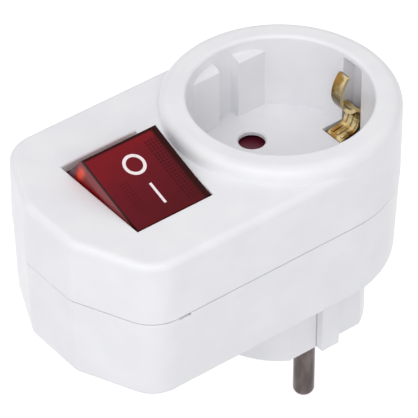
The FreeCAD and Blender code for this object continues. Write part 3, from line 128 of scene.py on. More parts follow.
def band(tree: bpy.types.NodeTree, value: bpy.types.NodeSocket, stretch: Stretch,
         full: bpy.types.NodeSocket | float = 1.0) -> bpy.types.NodeSocket:
    """Masks a stretch of a value, with soft ends.

    Args:
        tree: the node tree that gets the mask.
        value: the value along which the band lies.
        stretch: where the band starts, where it ends, and the width of each soft end.
        full: what the mask is inside the band, as a number or as another mask.

    Returns:
        A value that is full inside the band and 0 outside.
    """
    low, high, soft = stretch
    mask = full
    for edge, start, end in ((low, 0.0, 1.0), (high, 1.0, 0.0)):
        step = add_node(tree, "MapRange",
                        {"interpolation_type": "SMOOTHSTEP", "Value": value, "From Min": edge - soft / 2,
                         "From Max": edge + soft / 2, "To Min": start, "To Max": end})
        mask = add_node(tree, "Math", {"operation": "MULTIPLY", 0: step.outputs[0], 1: mask}).outputs[0]
    return mask


def grain(tree: bpy.types.NodeTree, size: float, longer: tuple[float, float, float] = (1.0, 1.0, 1.0),
          detail: float = 2.0) -> bpy.types.NodeSocket:
    """Makes a noise in the object's own space with features of a real size.

    Args:
        tree: the node tree that gets the noise.
        size: the width of one feature, in metres.
        longer: how much longer a feature is along each axis.
        detail: how many finer layers the noise has.

    Returns:
        The noise value's socket.
    """
    place = add_node(tree, "TexCoord", {})
    pulled = add_node(tree, "Mapping", {"vector_type": "POINT", "Scale": tuple(1 / pull for pull in longer),
                                        "Vector": place.outputs["Object"]})
    noise = add_node(tree, "TexNoise", {"Scale": 1 / size, "Detail": detail, "Roughness": 0.5,
                                        "Vector": pulled.outputs[0]})
    return noise.outputs["Fac"]


@dataclass(frozen=True)
class Finish:
    """A surface that one making process leaves on one material.

    Each finish sets what is the same all over the surface on the shader itself, and its own
    pattern lays colour, roughness and relief over that. The wear is how far the roughness goes to
    either side, and the span says where in a noise one tone gives way to the other.
    """

    name: str
    roughness: float
    metallic: float = 0.0
    ior: float = 1.5
    wear: float = 0.08
    span: tuple[float, float] = (0.3, 0.7)

    def material(self) -> bpy.types.Material:
        """Builds the material.

        Returns:
            A new material with the finish's pattern.
        """
        made = bpy.data.materials.new(self.name)
        made.use_nodes = True
        tree = made.node_tree
        shader = next(n for n in tree.nodes if n.type == "BSDF_PRINCIPLED")
        shader.inputs["Roughness"].default_value = self.roughness
        shader.inputs["Metallic"].default_value = self.metallic
        if not self.metallic:
            shader.inputs["IOR"].default_value = self.ior
        self.pattern(tree, shader)
        return made

    def pattern(self, tree: bpy.types.NodeTree, shader: bpy.types.Node) -> None:
        """Lays the finish's own pattern; each kind of finish has one."""
        raise NotImplementedError

    def worn_roughness(self, tree: bpy.types.NodeTree, shader: bpy.types.Node,
                       height: bpy.types.NodeSocket) -> None:
        """Varies the roughness a little with a pattern.

        Args:
            tree: the material's node tree.
            shader: the surface shader.
            height: the pattern, from 0 to 1.
        """
        node = add_node(tree, "MapRange", {"Value": height, "To Min": self.roughness - self.wear,
                                           "To Max": self.roughness + self.wear})
        tree.links.new(node.outputs[0], shader.inputs["Roughness"])

    def tones(self, low: str, high: str) -> list[tuple[float, str]]:
        """Gives a ramp's stops, from the low hex colour to the high one over the span."""
        return list(zip(self.span, (low, high)))


@dataclass(frozen=True)
class MouldedPolymer(Finish):
    """Opaque plastic out of a steel mould: an even colour with a faint flow and a fine eroded grain.

    Below a given height, at the seam and the plug's creases, ambient occlusion lays painted shade. The deck
    and the cup stay plain.
    """

    wear: float = 0.05
    span: tuple[float, float] = (0.35, 0.65)
    light: str = "#F4F4F7"
    dark: str = "#F0F0F4"
    flow_size: float = 9 * MM
    flow_depth: float = 0.008 * MM
    grain_size: float = 0.5 * MM
    grain_depth: float = 0.004 * MM
    # painted shade in creases: how far the occlusion looks, its samples and the heights where it is laid
    crease_reach: float = 0.3 * MM
    crease_samples: int = 8
    crease_levels: Stretch = (-FAR, 40.1 * MM, 0.5 * MM)

    def pattern(self, tree: bpy.types.NodeTree, shader: bpy.types.Node) -> None:
        """Lays a slow change of tone with shallow sink marks, the mould's grain and painted shade in the
        creases.

        Args:
            tree: the material's node tree.
            shader: the surface shader.
        """
        flow = grain(tree, self.flow_size)
        # spark-eroded steel leaves a grain near 0.1 mm; drawn five times coarser so that it shows
        fine = grain(tree, self.grain_size, detail=3.0)
        ramp = add_node(tree, "ValToRGB", {"Fac": flow, "stops": self.tones(self.dark, self.light)})
        colour = ramp.outputs["Color"]
        # painted shade: ambient occlusion darkens the colour near other surfaces, only below the given height
        painted_crease_shade = add_node(tree, "AmbientOcclusion",
                           {"samples": self.crease_samples, "Distance": self.crease_reach, "Color": colour})
        place = add_node(tree, "TexCoord", {})
        axes = add_node(tree, "SeparateXYZ", {0: place.outputs["Object"]})
        low = band(tree, axes.outputs[2], self.crease_levels)
        laid = add_node(tree, "Mix", {"data_type": "RGBA", 0: low, 6: colour, 7: painted_crease_shade.outputs["Color"]})
        tree.links.new(laid.outputs[2], shader.inputs["Base Color"])
        self.worn_roughness(tree, shader, fine)
        sink = add_node(tree, "Bump", {"Height": flow, "Distance": self.flow_depth})
        relief = add_node(tree, "Bump", {"Height": fine, "Distance": self.grain_depth,
                                         "Normal": sink.outputs["Normal"]})
        tree.links.new(relief.outputs["Normal"], shader.inputs["Normal"])


@dataclass(frozen=True)
class RolledBrass(Finish):
    """Brass strip, rolled and stamped: long fine roll lines, and bright and tarnished patches.

    In the cup, the faces and bends that don't look along one fixed direction are painted dark,
    a painted dark reflection, on both sides of the cup alike. This goes by a face's own direction,
    so it stays when the view moves.
    """

    span: tuple[float, float] = (0.4, 0.55)
    bright: str = "#FFE9B0"
    dull: str = "#BE9450"
    # the painted dark reflection, laid on faces that slant away from the direction below
    brown: str = "#2C1E08"
    brown_share: float = 0.85
    brown_levels: Stretch = (38.0 * MM, FAR, 1.0 * MM)
    # the photograph looks in from this side, and shows the faces that look back at it bright
    rubbed_direction: Place = (-0.476, -0.580, 0.661)
    rubbed_slant: Stretch = (-FAR, 0.59, 0.3)
    line_size: float = 0.25 * MM
    line_length: float = 30.0
    line_depth: float = 0.01 * MM
    stain_size: float = 3.5 * MM

    def pattern(self, tree: bpy.types.NodeTree, shader: bpy.types.Node) -> None:
        """Lays tarnish in patches, roll lines along the strip and the painted dark reflection.

        Args:
            tree: the material's node tree.
            shader: the surface shader.
        """
        stain = grain(tree, self.stain_size)
        # roll lines are a few hundredths of a millimetre apart; drawn coarser so that they show
        lines = grain(tree, self.line_size, longer=(self.line_length, 1.0, self.line_length))
        ramp = add_node(tree, "ValToRGB", {"Fac": stain, "stops": self.tones(self.dull, self.bright)})
        place = add_node(tree, "TexCoord", {})
        axes = add_node(tree, "SeparateXYZ", {0: place.outputs["Object"]})
        # painted dark reflection: above a height, faces that slant away from the fixed direction go dark; x
        # is mirrored so that both clips match
        side = add_node(tree, "Math", {"operation": "SIGN", 0: axes.outputs[0]})
        mirror = add_node(tree, "CombineXYZ", {0: side.outputs[0], 1: 1.0, 2: 1.0})
        facing = add_node(tree, "VectorMath", {"operation": "MULTIPLY", 0: place.outputs["Normal"],
                                               1: mirror.outputs[0]})
        lean = add_node(tree, "VectorMath", {"operation": "DOT_PRODUCT", 0: facing.outputs[0],
                                             1: self.rubbed_direction})
        squareness = add_node(tree, "Math", {"operation": "ABSOLUTE", 0: lean.outputs["Value"]})
        raised = band(tree, axes.outputs[2], self.brown_levels, self.brown_share)
        painted_dark_mask = band(tree, squareness.outputs[0], self.rubbed_slant, raised)
        laid = add_node(tree, "Mix", {"data_type": "RGBA", 0: painted_dark_mask, 6: ramp.outputs["Color"],
                                      7: linear(self.brown)})
        tree.links.new(laid.outputs[2], shader.inputs["Base Color"])
        self.worn_roughness(tree, shader, lines)
        relief = add_node(tree, "Bump", {"Height": lines, "Distance": self.line_depth})
        tree.links.new(relief.outputs["Normal"], shader.inputs["Normal"])


@dataclass(frozen=True)
class PlatedMetal(Finish):
    """Turned or formed metal with a thin plating: rings of the tool, and a slightly cloudy sheen."""

    wear: float = 0.06
    bright: str = "#C9C6C1"
    dull: str = "#8E8984"
    ring_pitch: float = 0.5 * MM
    ring_depth: float = 0.006 * MM
    ring_waver: float = 0.4
    cloud_size: float = 3 * MM
    cloud_length: float = 3.0

    def pattern(self, tree: bpy.types.NodeTree, shader: bpy.types.Node) -> None:
        """Lays the plating's cloudiness and the turning rings.

        Args:
            tree: the material's node tree.
            shader: the surface shader.
        """
        cloud = grain(tree, self.cloud_size, longer=(1.0, 1.0, self.cloud_length))
        place = add_node(tree, "TexCoord", {})
        # turning leaves rings near 0.1 mm apart; drawn five times coarser so that they show
        rings = add_node(tree, "TexWave", {"wave_type": "BANDS", "bands_direction": "Z",
                                           "Scale": WAVE_LENGTH / self.ring_pitch,
                                           "Distortion": self.ring_waver, "Vector": place.outputs["Object"]})
        colour = add_node(tree, "ValToRGB", {"Fac": cloud, "stops": self.tones(self.dull, self.bright)})
        tree.links.new(colour.outputs["Color"], shader.inputs["Base Color"])
        self.worn_roughness(tree, shader, cloud)
        relief = add_node(tree, "Bump", {"Height": rings.outputs["Fac"], "Distance": self.ring_depth})
        tree.links.new(relief.outputs["Normal"], shader.inputs["Normal"])


@dataclass(frozen=True)
class TintedLens(Finish):
    """Red polycarbonate, moulded clear and polished: glossy, deep in tone, with prisms inside.

    Places are in the rocker's own level frame, in millimetres: x across the rocker from its
    middle, y along it from its pivot and z up from the pivot. The left flank is the end wall that
    the lamp shines through, with a painted reflection, a grey-pink strip, under its rim. Light and
    shade are painted into the colour too: lighter towards the lamp, dark shade bands, painted shade
    in the flank's far corner and the lamp's painted glow.
    """

    body: str = "#6A121E"
    lit: str = "#7C151E"
    shaded: str = "#590D16"
    # painted shade: the dark bands along the right and far edges and the dark line under the flank's rim
    edge: str = "#300505"
    dot: str = "#47070E"
    flank: str = "#7E1418"
    # a painted reflection, grey-pink, under the left flank's rim
    frosted: str = "#8A4044"
    # painted shade in the far corner of the left flank
    smoky: str = "#5E3A44"
    glow: str = "#FF5A28"
    gleam: float = 0.12
    lit_strip: Stretch = (7.9, 9.6, 0.8)
    right_shade: Stretch = (7.7, 12.0, 0.9)
    far_shade: Stretch = (9.2, 16.0, 0.3)
    right_flank: Stretch = (9.5, 12.0, 0.1)
    left_flank: Stretch = (-12.0, -9.3, 0.1)
    far_flank: Stretch = (10.0, 18.0, 0.1)
    near_flank: Stretch = (-18.0, -10.0, 0.1)
    frosted_strip: Stretch = (7.4, 10.6, 1.2)
    smoky_corner: Stretch = (10.6, 16.0, 0.6)
    rim_line: Stretch = (9.95, 12.0, 0.2)
    # painted lamp light and shade: the colour grows lighter towards the lamp
    depth_slant: float = -0.35
    depth_length: float = 24.0
    depth_stops: tuple[float, float, float] = (0.22, 0.68, 1.0)
    cloud_size: float = 3 * MM
    cloud_share: float = 0.25
    prism_pitch: float = 0.78
    prism_edge: Stretch = (-0.3, FAR, 1.2)
    prism_relief: float = 0.02 * MM
    right_prisms: tuple[Stretch, Stretch] = ((4.4, 7.5, 0.3), (-9.2, 7.4, 1.0))
    left_prisms: tuple[Stretch, Stretch] = ((-6.8, -4.3, 0.3), (-7.4, 1.4, 1.0))
    left_share: float = 0.55
    glow_place: Place = (-9.6, 9.2, 6.9)
    glow_turn: float = 0.25
    glow_scale: tuple[float, float, float] = (1.0, 1.7, 3.2)
    glow_reach: tuple[float, float] = (0.1, 1.0)
    glow_strength: float = 0.5

    def pattern(self, tree: bpy.types.NodeTree, shader: bpy.types.Node) -> None:
        """Lays the painted lamp light and shade of the lens, its prism strips and the lamp's painted glow.

        Args:
            tree: the material's node tree.
            shader: the surface shader.
        """
        place = add_node(tree, "TexCoord", {})
        level = add_node(tree, "Mapping", {"vector_type": "TEXTURE", "Location": ROCKER_PIVOT,
                                           "Rotation": (ROCKER_TILT, 0.0, 0.0), "Scale": (MM, MM, MM),
                                           "Vector": place.outputs["Object"]})
        axes = add_node(tree, "SeparateXYZ", {0: level.outputs[0]})
        x, y, z = (axes.outputs[i] for i in range(3))
        dots = self.prisms(tree, x, y)
        wall = band(tree, x, self.left_flank)
        colour = self.depth(tree, x, y)
        # painted light and shade over the lens's red: a lit strip, dark shade bands, a painted reflection,
        # painted corner shade and a dark rim line; the dots mark the prisms and the flanks keep their own red
        layers = [
            (band(tree, y, self.lit_strip), self.lit),
            (dots, self.dot),
            (band(tree, x, self.right_shade), self.edge),
            (band(tree, y, self.far_shade), self.edge),
            (band(tree, x, self.right_flank), self.flank),
            (band(tree, y, self.far_flank), self.flank),
            (band(tree, y, self.near_flank), self.flank),
            (wall, self.flank),
            (band(tree, z, self.frosted_strip, wall), self.frosted),
            (band(tree, y, self.smoky_corner, wall), self.smoky),
            (band(tree, z, self.rim_line, wall), self.edge),
        ]
        for mask, paint in layers:
            laid = add_node(tree, "Mix", {"data_type": "RGBA", 0: mask, 6: colour, 7: linear(paint)})
            colour = laid.outputs[2]
        tree.links.new(colour, shader.inputs["Base Color"])
        shader.inputs["Specular IOR Level"].default_value = self.gleam
        shader.inputs["Emission Color"].default_value = linear(self.glow)
        tree.links.new(self.lamp_spot(tree, level.outputs[0], wall), shader.inputs["Emission Strength"])
        relief = add_node(tree, "Bump", {"Height": dots, "Distance": self.prism_relief})
        tree.links.new(relief.outputs["Normal"], shader.inputs["Normal"])

    def depth(self, tree: bpy.types.NodeTree, x: bpy.types.NodeSocket,
              y: bpy.types.NodeSocket) -> bpy.types.NodeSocket:
        """Paints the lamp's light and shade into the lens: lighter over the lamp and darker away from it.

        Args:
            tree: the material's node tree.
            x: place across the rocker.
            y: place along the rocker.

        Returns:
            The colour's socket.
        """
        slope = add_node(tree, "Math", {"operation": "MULTIPLY_ADD", 0: x, 1: self.depth_slant, 2: y})
        along = add_node(tree, "Math", {"operation": "MULTIPLY_ADD", 0: slope.outputs[0],
                                        1: 1 / self.depth_length, 2: 0.5})
        cloud = grain(tree, self.cloud_size, detail=3.0)
        uneven = add_node(tree, "Math", {"operation": "MULTIPLY_ADD", 0: cloud, 1: self.cloud_share,
                                         2: along.outputs[0]})
        stops = list(zip(self.depth_stops, (self.shaded, self.body, self.lit)))
        return add_node(tree, "ValToRGB", {"Fac": uneven.outputs[0], "stops": stops}).outputs["Color"]

    def prisms(self, tree: bpy.types.NodeTree, x: bpy.types.NodeSocket,
               y: bpy.types.NodeSocket) -> bpy.types.NodeSocket:
        """Masks the small prisms moulded in two strips under the face.

        Args:
            tree: the material's node tree.
            x: place across the rocker.
            y: place along the rocker.

        Returns:
            A value that is near 1 on a prism.
        """
        cells = 1.0
        for axis in (x, y):
            turned = add_node(tree, "Math", {"operation": "MULTIPLY", 0: axis,
                                             1: math.tau / self.prism_pitch})
            wave = add_node(tree, "Math", {"operation": "SINE", 0: turned.outputs[0]})
            cells = band(tree, wave.outputs[0], self.prism_edge, cells)
        right, left = [band(tree, x, across, band(tree, y, along, cells))
                       for across, along in (self.right_prisms, self.left_prisms)]
        both = add_node(tree, "Math", {"operation": "MULTIPLY_ADD", 0: left, 1: self.left_share, 2: right})
        return both.outputs[0]

    def lamp_spot(self, tree: bpy.types.NodeTree, level: bpy.types.NodeSocket,
                  wall: bpy.types.NodeSocket) -> bpy.types.NodeSocket:
        """Makes the lamp's glow on the flank, from its distance to the lamp's end.

        Args:
            tree: the material's node tree.
            level: the place in the rocker's own frame.
            wall: the mask of the flank.

        Returns:
            The glow's strength.
        """
        pulled = add_node(tree, "Mapping", {"vector_type": "TEXTURE", "Location": self.glow_place,
                                            "Rotation": (self.glow_turn, 0.0, 0.0), "Scale": self.glow_scale,
                                            "Vector": level})
        away = add_node(tree, "VectorMath", {"operation": "LENGTH", 0: pulled.outputs[0]})
        full, gone = self.glow_reach
        fall = add_node(tree, "MapRange",
                        {"interpolation_type": "SMOOTHSTEP", "Value": away.outputs["Value"], "From Min": full,
                         "From Max": gone, "To Min": self.glow_strength, "To Max": 0.0})
        return add_node(tree, "Math", {"operation": "MULTIPLY", 0: fall.outputs[0], 1: wall}).outputs[0]


@dataclass(frozen=True)
class NeonGlass(Finish):
    """Clear glass tube with a glowing gas inside: smooth, with a warm glow along its middle."""

    tube: str = "#FFB48A"
    glow: str = "#FF5A2E"
    cloud_size: float = 1.5 * MM
    strengths: tuple[float, float] = (0.6, 1.4)
    clearness: float = 0.5

    def pattern(self, tree: bpy.types.NodeTree, shader: bpy.types.Node) -> None:
        """Lays the uneven glow of the gas.

        Args:
            tree: the material's node tree.
            shader: the surface shader.
        """
        cloud = grain(tree, self.cloud_size)
        colour = add_node(tree, "ValToRGB", {"Fac": cloud, "stops": self.tones(self.glow, self.tube)})
        tree.links.new(colour.outputs["Color"], shader.inputs["Base Color"])
        shader.inputs["Emission Color"].default_value = linear(self.glow)
        dim, strong = self.strengths
        strength = add_node(tree, "MapRange", {"Value": cloud, "To Min": dim, "To Max": strong})
        tree.links.new(strength.outputs[0], shader.inputs["Emission Strength"])
        shader.inputs["Transmission Weight"].default_value = self.clearness


@dataclass(frozen=True)
class BandedCeramic(Finish):
    """Ceramic rod under lacquer, with painted rings round it: matt, with slightly uneven lacquer."""

    span: tuple[float, float] = (0.3, 0.8)
    lacquer: str = "#CDB28A"
    thin: str = "#DCC49E"
    rings: tuple[str, str, str] = ("#6B3A1E", "#2A2A2A", "#C7541C")
    first_ring: float = -40.6 * MM
    ring_pitch: float = 1.2 * MM
    ring_width: float = 0.55 * MM
    ring_soft: float = 0.08 * MM
    cloud_size: float = 1.2 * MM

    def pattern(self, tree: bpy.types.NodeTree, shader: bpy.types.Node) -> None:
        """Lays the lacquer and its painted rings.

        Args:
            tree: the material's node tree.
            shader: the surface shader.
        """
        cloud = grain(tree, self.cloud_size)
        base = add_node(tree, "ValToRGB", {"Fac": cloud, "stops": self.tones(self.lacquer, self.thin)})
        colour = base.outputs["Color"]
        place = add_node(tree, "TexCoord", {})
        axes = add_node(tree, "SeparateXYZ", {0: place.outputs["Object"]})
        for number, ring in enumerate(self.rings):
            start = self.first_ring + number * self.ring_pitch
            mask = band(tree, axes.outputs[0], (start, start + self.ring_width, self.ring_soft))
            laid = add_node(tree, "Mix", {"data_type": "RGBA", 0: mask, 6: colour, 7: linear(ring)})
            colour = laid.outputs[2]
        tree.links.new(colour, shader.inputs["Base Color"])
        self.worn_roughness(tree, shader, cloud)


@dataclass(frozen=True)
class PrintedInk(Finish):
    """White ink stamped on plastic: nearly matt, a little thin in places."""

    span: tuple[float, float] = (0.3, 0.55)
    full: str = "#FAEFF1"
    thin: str = "#F3E0E3"
    cover_size: float = 0.6 * MM

    def pattern(self, tree: bpy.types.NodeTree, shader: bpy.types.Node) -> None:
        """Lays the uneven cover of the ink.

        Args:
            tree: the material's node tree.
            shader: the surface shader.
        """
        cover = grain(tree, self.cover_size)
        colour = add_node(tree, "ValToRGB", {"Fac": cover, "stops": self.tones(self.thin, self.full)})
        tree.links.new(colour.outputs["Color"], shader.inputs["Base Color"])
        self.worn_roughness(tree, shader, cover)


class Slot(Enum):
    """The record's material slots, each with the finish that its pieces get."""

    WHITE_SHELL = MouldedPolymer("moulded white polypropylene", roughness=0.33, ior=1.49)
    RED_LENS = TintedLens("polished red polycarbonate", roughness=0.14, ior=1.58)
    RED_SHUTTER = MouldedPolymer("moulded red polyamide", roughness=0.38, light="#6E1C32", dark="#5A1428")
    SWITCH_BLACK = MouldedPolymer("moulded black polyamide", roughness=0.5, light="#242426", dark="#1A1A1C")
    INSERT_PLASTIC = MouldedPolymer("moulded grey thermoset", roughness=0.55, light="#4A4A4D", dark="#3C3C3F")
    BRASS_STRIP = RolledBrass("rolled brass strip", roughness=0.2, metallic=1.0)
    NICKEL_PIN = PlatedMetal("nickel plated turned brass", roughness=0.22, metallic=1.0, bright="#716866",
                             dull="#4A4240")
    SCREW_STEEL = PlatedMetal("zinc plated steel", roughness=0.3, metallic=1.0)
    SPRING_STEEL = PlatedMetal("drawn spring wire", roughness=0.25, metallic=1.0, bright="#B8B8BA",
                               dull="#8B8B8E")
    LEAD_WIRE = PlatedMetal("tinned copper wire", roughness=0.32, metallic=1.0, bright="#D2CFC8",
                            dull="#A7A39B")
    LAMP_GLASS = NeonGlass("neon lamp glass", roughness=0.06, ior=1.5)
    RESISTOR_BODY = BandedCeramic("lacquered ceramic", roughness=0.45)


MARK_INK = PrintedInk("stamped white ink", roughness=0.5)


def deselect_all() -> None:
    """Leaves object mode's selection empty, so that an operator acts only on the new piece."""
    for thing in bpy.context.selected_objects:
        thing.select_set(False)


def shade(thing: bpy.types.Object, material: bpy.types.Material) -> None:
    """Gives every material slot of a piece one material.

    Args:
        thing: the piece.
        material: the material that it gets.
    """
    if not thing.material_slots:
        thing.data.materials.append(material)
    for slot in thing.material_slots:
        slot.material = material


@dataclass
class NodeDresser:
    """Dresses the frame's nodes with the finish of the slot that the record names for each."""

    made: dict[str, bpy.types.Material] = field(default_factory=dict)

    def material(self, slot: str) -> bpy.types.Material:
        """Gives the material of a record slot, and makes it when it is first asked for.

        Args:
            slot: the record's name of the slot.

        Returns:
            The slot's material.
        """
        if slot not in self.made:
            self.made[slot] = Slot[slot.upper()].value.material()
        return self.made[slot]

    def dress(self, nodes: tuple[str, ...]) -> None:
        """Dresses the named nodes.

        Args:
            nodes: names of nodes of the frame.
        """
        wanted = {part["node"]: part["material_slot"] for part in frame["record"]["subparts"]}
        for name in nodes:
            shade(frame["nodes"][name], self.material(wanted[name]))
            LOG.info("dressed %s as %s", name, wanted[name])


@dataclass
class SubAssembly:
    """A group of the frame's nodes that do one job together in the adapter."""

    dresser: NodeDresser
    nodes: tuple[str, ...] = ()

    def build(self) -> None:
        """Dresses the group's pieces."""
        self.dresser.dress(self.nodes)


@dataclass
class HousingShells(SubAssembly):
    """The two white shells and the screws that hold them together."""

    nodes: tuple[str, ...] = ("upper_shell", "lower_shell", "housing_screws")


@dataclass
class PlugFace(SubAssembly):
    """The plug under the body: pins, their carrier and the earth strips in its sides."""

    nodes: tuple[str, ...] = (
        "plug_pin_front", "plug_pin_back", "pin_carrier", "plug_earth_strip_right", "plug_earth_strip_left")


@dataclass
class SocketFace(SubAssembly):
    """What lies in and under the socket cup: earth clips, shutter, contact tubes and their holder."""

    nodes: tuple[str, ...] = (
        "earth_clip_right", "earth_clip_left", "earth_bridge", "shutter", "shutter_carrier", "shutter_spring",
        "carrier_screws", "socket_contact_front", "socket_contact_back", "contact_holder")


@dataclass
class RockerMarks:
    """The ring and the bar printed in white on the rocker's hollow face.

    Places are in the rocker's own level frame, from the pivot: x across, y along, z up.
    """

    face_height: float = 10.958 * MM
    clear: float = 1.5 * MM
    ink: float = 0.03 * MM
    ring_place: tuple[float, float] = (-0.38 * MM, 3.88 * MM)
    ring_radius: float = 2.56 * MM
    ring_points: int = 96
    stroke: float = 0.72 * MM
    bar_place: tuple[float, float] = (-0.2 * MM, -4.2 * MM)
    bar_length: float = 5.5 * MM
    bar_width: float = 0.6 * MM
    bar_cuts: int = 15

    def to_world(self) -> Matrix:
        """Gives the turn and shift from the rocker's level frame into the object's frame."""
        return Matrix.Translation(ROCKER_PIVOT) @ Matrix.Rotation(ROCKER_TILT, 4, "X")

    def ring(self) -> bpy.types.Object:
        """Models the off mark: a disc inset by its stroke, with the middle taken out.

        Returns:
            The flat ring, above the rocker's face.
        """
        deselect_all()
        bpy.ops.mesh.primitive_circle_add(vertices=self.ring_points, radius=self.ring_radius,
                                          fill_type="NGON",
                                          location=(*self.ring_place, self.face_height + self.clear))
        mark = bpy.context.object
        mark.name = "rocker_mark_off"
        bpy.ops.object.mode_set(mode="EDIT")
        bpy.ops.mesh.select_all(action="SELECT")
        bpy.ops.mesh.inset(thickness=self.stroke / 2)
        bpy.ops.mesh.inset(thickness=self.stroke / 2)
        bpy.ops.mesh.delete(type="FACE")
        bpy.ops.object.mode_set(mode="OBJECT")
        return mark

    def bar(self) -> bpy.types.Object:
        """Models the on mark: a plane pulled to a bar and divided along its length.

        Returns:
            The flat bar, above the rocker's face.
        """
        deselect_all()
        bpy.ops.mesh.primitive_plane_add(size=1.0,
                                         location=(*self.bar_place, self.face_height + self.clear))
        mark = bpy.context.object
        mark.name = "rocker_mark_on"
        bpy.ops.object.mode_set(mode="EDIT")
        bpy.ops.mesh.select_all(action="SELECT")
        bpy.ops.transform.resize(value=(self.bar_width, self.bar_length, 1.0))
        bpy.ops.mesh.subdivide(number_cuts=self.bar_cuts)
        bpy.ops.object.mode_set(mode="OBJECT")
        return mark

    def lay_on(self, mark: bpy.types.Object, material: bpy.types.Material) -> None:
        """Turns a flat mark to the rocker's tilt, drops it on the face and gives it the ink's thickness.

        Args:
            mark: the flat mark.
            material: the ink's material.
        """
        deselect_all()
        mark.select_set(True)
        bpy.context.view_layer.objects.active = mark
        drop = mark.modifiers.new("drop", "SHRINKWRAP")
        drop.target = frame["nodes"]["rocker"]
        drop.wrap_method = "PROJECT"
        drop.use_project_z = True
        drop.use_negative_direction = True
        drop.use_positive_direction = False
        drop.offset = 0.0
        mark.matrix_world = self.to_world() @ mark.matrix_world
        bpy.ops.object.modifier_apply(modifier=drop.name)
        bpy.ops.object.transform_apply(location=True, rotation=True, scale=True)
        body = mark.modifiers.new("ink", "SOLIDIFY")
        body.thickness = self.ink
        body.offset = 1.0
        bpy.ops.object.modifier_apply(modifier=body.name)
        bpy.ops.object.mode_set(mode="EDIT")
        bpy.ops.mesh.select_all(action="SELECT")
        bpy.ops.mesh.normals_make_consistent(inside=False)
        bpy.ops.object.mode_set(mode="OBJECT")
        shade(mark, material)
        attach(mark, "rocker")
        LOG.info("printed %s", mark.name)

    def build(self) -> None:
        """Prints both marks."""
        ink = MARK_INK.material()
        for mark in (self.ring(), self.bar()):
            self.lay_on(mark, ink)


@dataclass
class LitSwitch(SubAssembly):
    """The rocker switch: its housing, lens, lamp and moving contacts."""

    nodes: tuple[str, ...] = (
        "switch_housing", "switch_screws", "rocker_pivots", "rocker", "neon_lamp", "lamp_resistor",
        "lamp_leads", "plunger_left", "plunger_right", "plunger_spring_left", "plunger_spring_right",
        "seesaw_left", "seesaw_right")
    marks: RockerMarks = field(default_factory=RockerMarks)

    def build(self) -> None:
        """Dresses the switch and prints its marks."""
        super().build()
        self.marks.build()


@dataclass
class Wiring(SubAssembly):
    """The brass strips between plug, switch and socket."""

    nodes: tuple[str, ...] = (
        "feed_busbar_front", "feed_busbar_back", "feed_terminal_left", "feed_terminal_right",
        "load_terminal_left", "load_terminal_right", "load_busbar_front", "load_busbar_back")


@dataclass(frozen=True)
class SoftLamp:
    """One square soft lamp, with its place, power in watts and side."""

    name: str
    place: Place
    watts: float
    side: float = 0.6

    def hang(self, aim: Place) -> None:
        """Hangs the lamp at its place.

        Args:
            aim: the point that it faces.
        """
        data = bpy.data.lights.new(self.name, "AREA")
        data.shape = "SQUARE"
        data.size = self.side
        data.energy = self.watts
        hung = bpy.data.objects.new(self.name, data)
        bpy.context.scene.collection.objects.link(hung)
        hung.location = self.place
        hung.rotation_euler = (Vector(self.place) - Vector(aim)).to_track_quat("Z", "Y").to_euler()


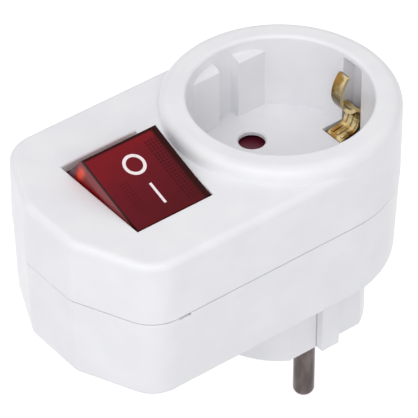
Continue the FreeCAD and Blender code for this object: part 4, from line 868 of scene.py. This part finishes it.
@dataclass
class Studio:
    """A pale floor, soft lamps and the camera at the photograph's place."""

    floor_side: float = 8.0
    floor_gap: float = 0.05 * MM
    floor_grey: str = "#D8D8DA"
    shown_white: float = 0.72
    world_level: float = 0.66
    sky: str = "#FFFFFF"
    lamps: tuple[SoftLamp, ...] = (SoftLamp("key_lamp", (-0.45, -0.60, 0.65), 1.82),
                                   SoftLamp("front_lamp", (-0.35, -0.85, 0.35), 0.5),
                                   SoftLamp("left_lamp", (-0.70, -0.15, 0.75), 1.8))
    lamp_aim: Place = (-0.018, 0.0, 0.035)
    camera_place: Place = (-0.4066, -0.4952, 0.5649)
    camera_turn: tuple[float, float, float] = (49.991, 0.0, -38.043)
    lens: float = 334.7
    sensor: float = 36.0
    clip_start: float = 0.01

    def floor(self) -> None:
        """Lays the floor under the plug's pins, white to the eye but with the object's shadow."""
        deselect_all()
        level = CAD_BOX[0].z - self.floor_gap
        bpy.ops.mesh.primitive_plane_add(size=self.floor_side, location=(0.0, 0.0, level))
        plane = bpy.context.object
        plane.name = "floor"
        bpy.ops.object.transform_apply(location=True, rotation=False, scale=False)
        made = bpy.data.materials.new("pale studio paper")
        made.use_nodes = True
        tree = made.node_tree
        tree.nodes.clear()
        shown = self.shown(tree)
        path = add_node(tree, "LightPath", {})
        facing = add_node(tree, "NewGeometry", {})
        paper = add_node(tree, "BsdfDiffuse", {"Color": linear(self.floor_grey)})
        strength = add_node(tree, "Math", {"operation": "MULTIPLY", 0: shown, 1: self.shown_white})
        white = add_node(tree, "Emission", {"Color": (1.0, 1.0, 1.0, 1.0), "Strength": strength.outputs[0]})
        lit = add_node(tree, "AddShader", {0: paper.outputs[0], 1: white.outputs[0]})
        clear = add_node(tree, "BsdfTransparent", {})
        # the camera sees through the floor from below, so that the plug's face shows there
        under = add_node(tree, "Math", {"operation": "MULTIPLY", 0: facing.outputs["Backfacing"],
                                        1: path.outputs["Is Camera Ray"]})
        both = add_node(tree, "MixShader", {0: under.outputs[0], 1: lit.outputs[0], 2: clear.outputs[0]})
        add_node(tree, "OutputMaterial", {"Surface": both.outputs[0]})
        plane.data.materials.append(made)

    def shown(self, tree: bpy.types.NodeTree) -> bpy.types.NodeSocket:
        """Tells the rays that show the floor: from the camera, a reflection or through glass.

        Args:
            tree: the node tree that gets the light path.

        Returns:
            A value of 1 for such a ray, or else 0.
        """
        path = add_node(tree, "LightPath", {})
        value = path.outputs["Is Camera Ray"]
        for ray in ("Is Glossy Ray", "Is Transmission Ray"):
            either = add_node(tree, "Math", {"operation": "MAXIMUM", 0: value, 1: path.outputs[ray]})
            value = either.outputs[0]
        return value

    def world(self) -> None:
        """Surrounds the object with an even soft light that shows as white."""
        made = bpy.data.worlds.new("studio")
        made.use_nodes = True
        tree = made.node_tree
        tree.nodes.clear()
        path = add_node(tree, "LightPath", {})
        level = add_node(tree, "MapRange", {"Value": path.outputs["Is Camera Ray"],
                                            "To Min": self.world_level, "To Max": 1.0})
        sky = add_node(tree, "Background", {"Color": linear(self.sky), "Strength": level.outputs[0]})
        add_node(tree, "OutputWorld", {"Surface": sky.outputs[0]})
        bpy.context.scene.world = made

    def camera(self) -> None:
        """Sets the camera at the photograph's place, turn and lens."""
        data = bpy.data.cameras.new("camera")
        data.sensor_width = self.sensor
        data.lens = self.lens
        data.clip_start = self.clip_start
        held = bpy.data.objects.new("camera", data)
        bpy.context.scene.collection.objects.link(held)
        held.location = self.camera_place
        held.rotation_euler = [math.radians(turn) for turn in self.camera_turn]
        bpy.context.scene.camera = held

    def build(self) -> None:
        """Sets up floor, world, lamps and camera."""
        self.floor()
        self.world()
        for lamp in self.lamps:
            lamp.hang(self.lamp_aim)
        self.camera()
        bpy.context.scene.view_settings.view_transform = "Standard"
        LOG.info("studio is set")


def main() -> None:
    """Builds every sub-assembly in order."""
    logging.basicConfig(level=logging.INFO, format="%(name)s: %(message)s")
    dresser = NodeDresser()
    for assembly in (HousingShells(dresser), PlugFace(dresser), SocketFace(dresser), LitSwitch(dresser),
                     Wiring(dresser), Studio()):
        assembly.build()


if __name__ == "__main__":
    main()
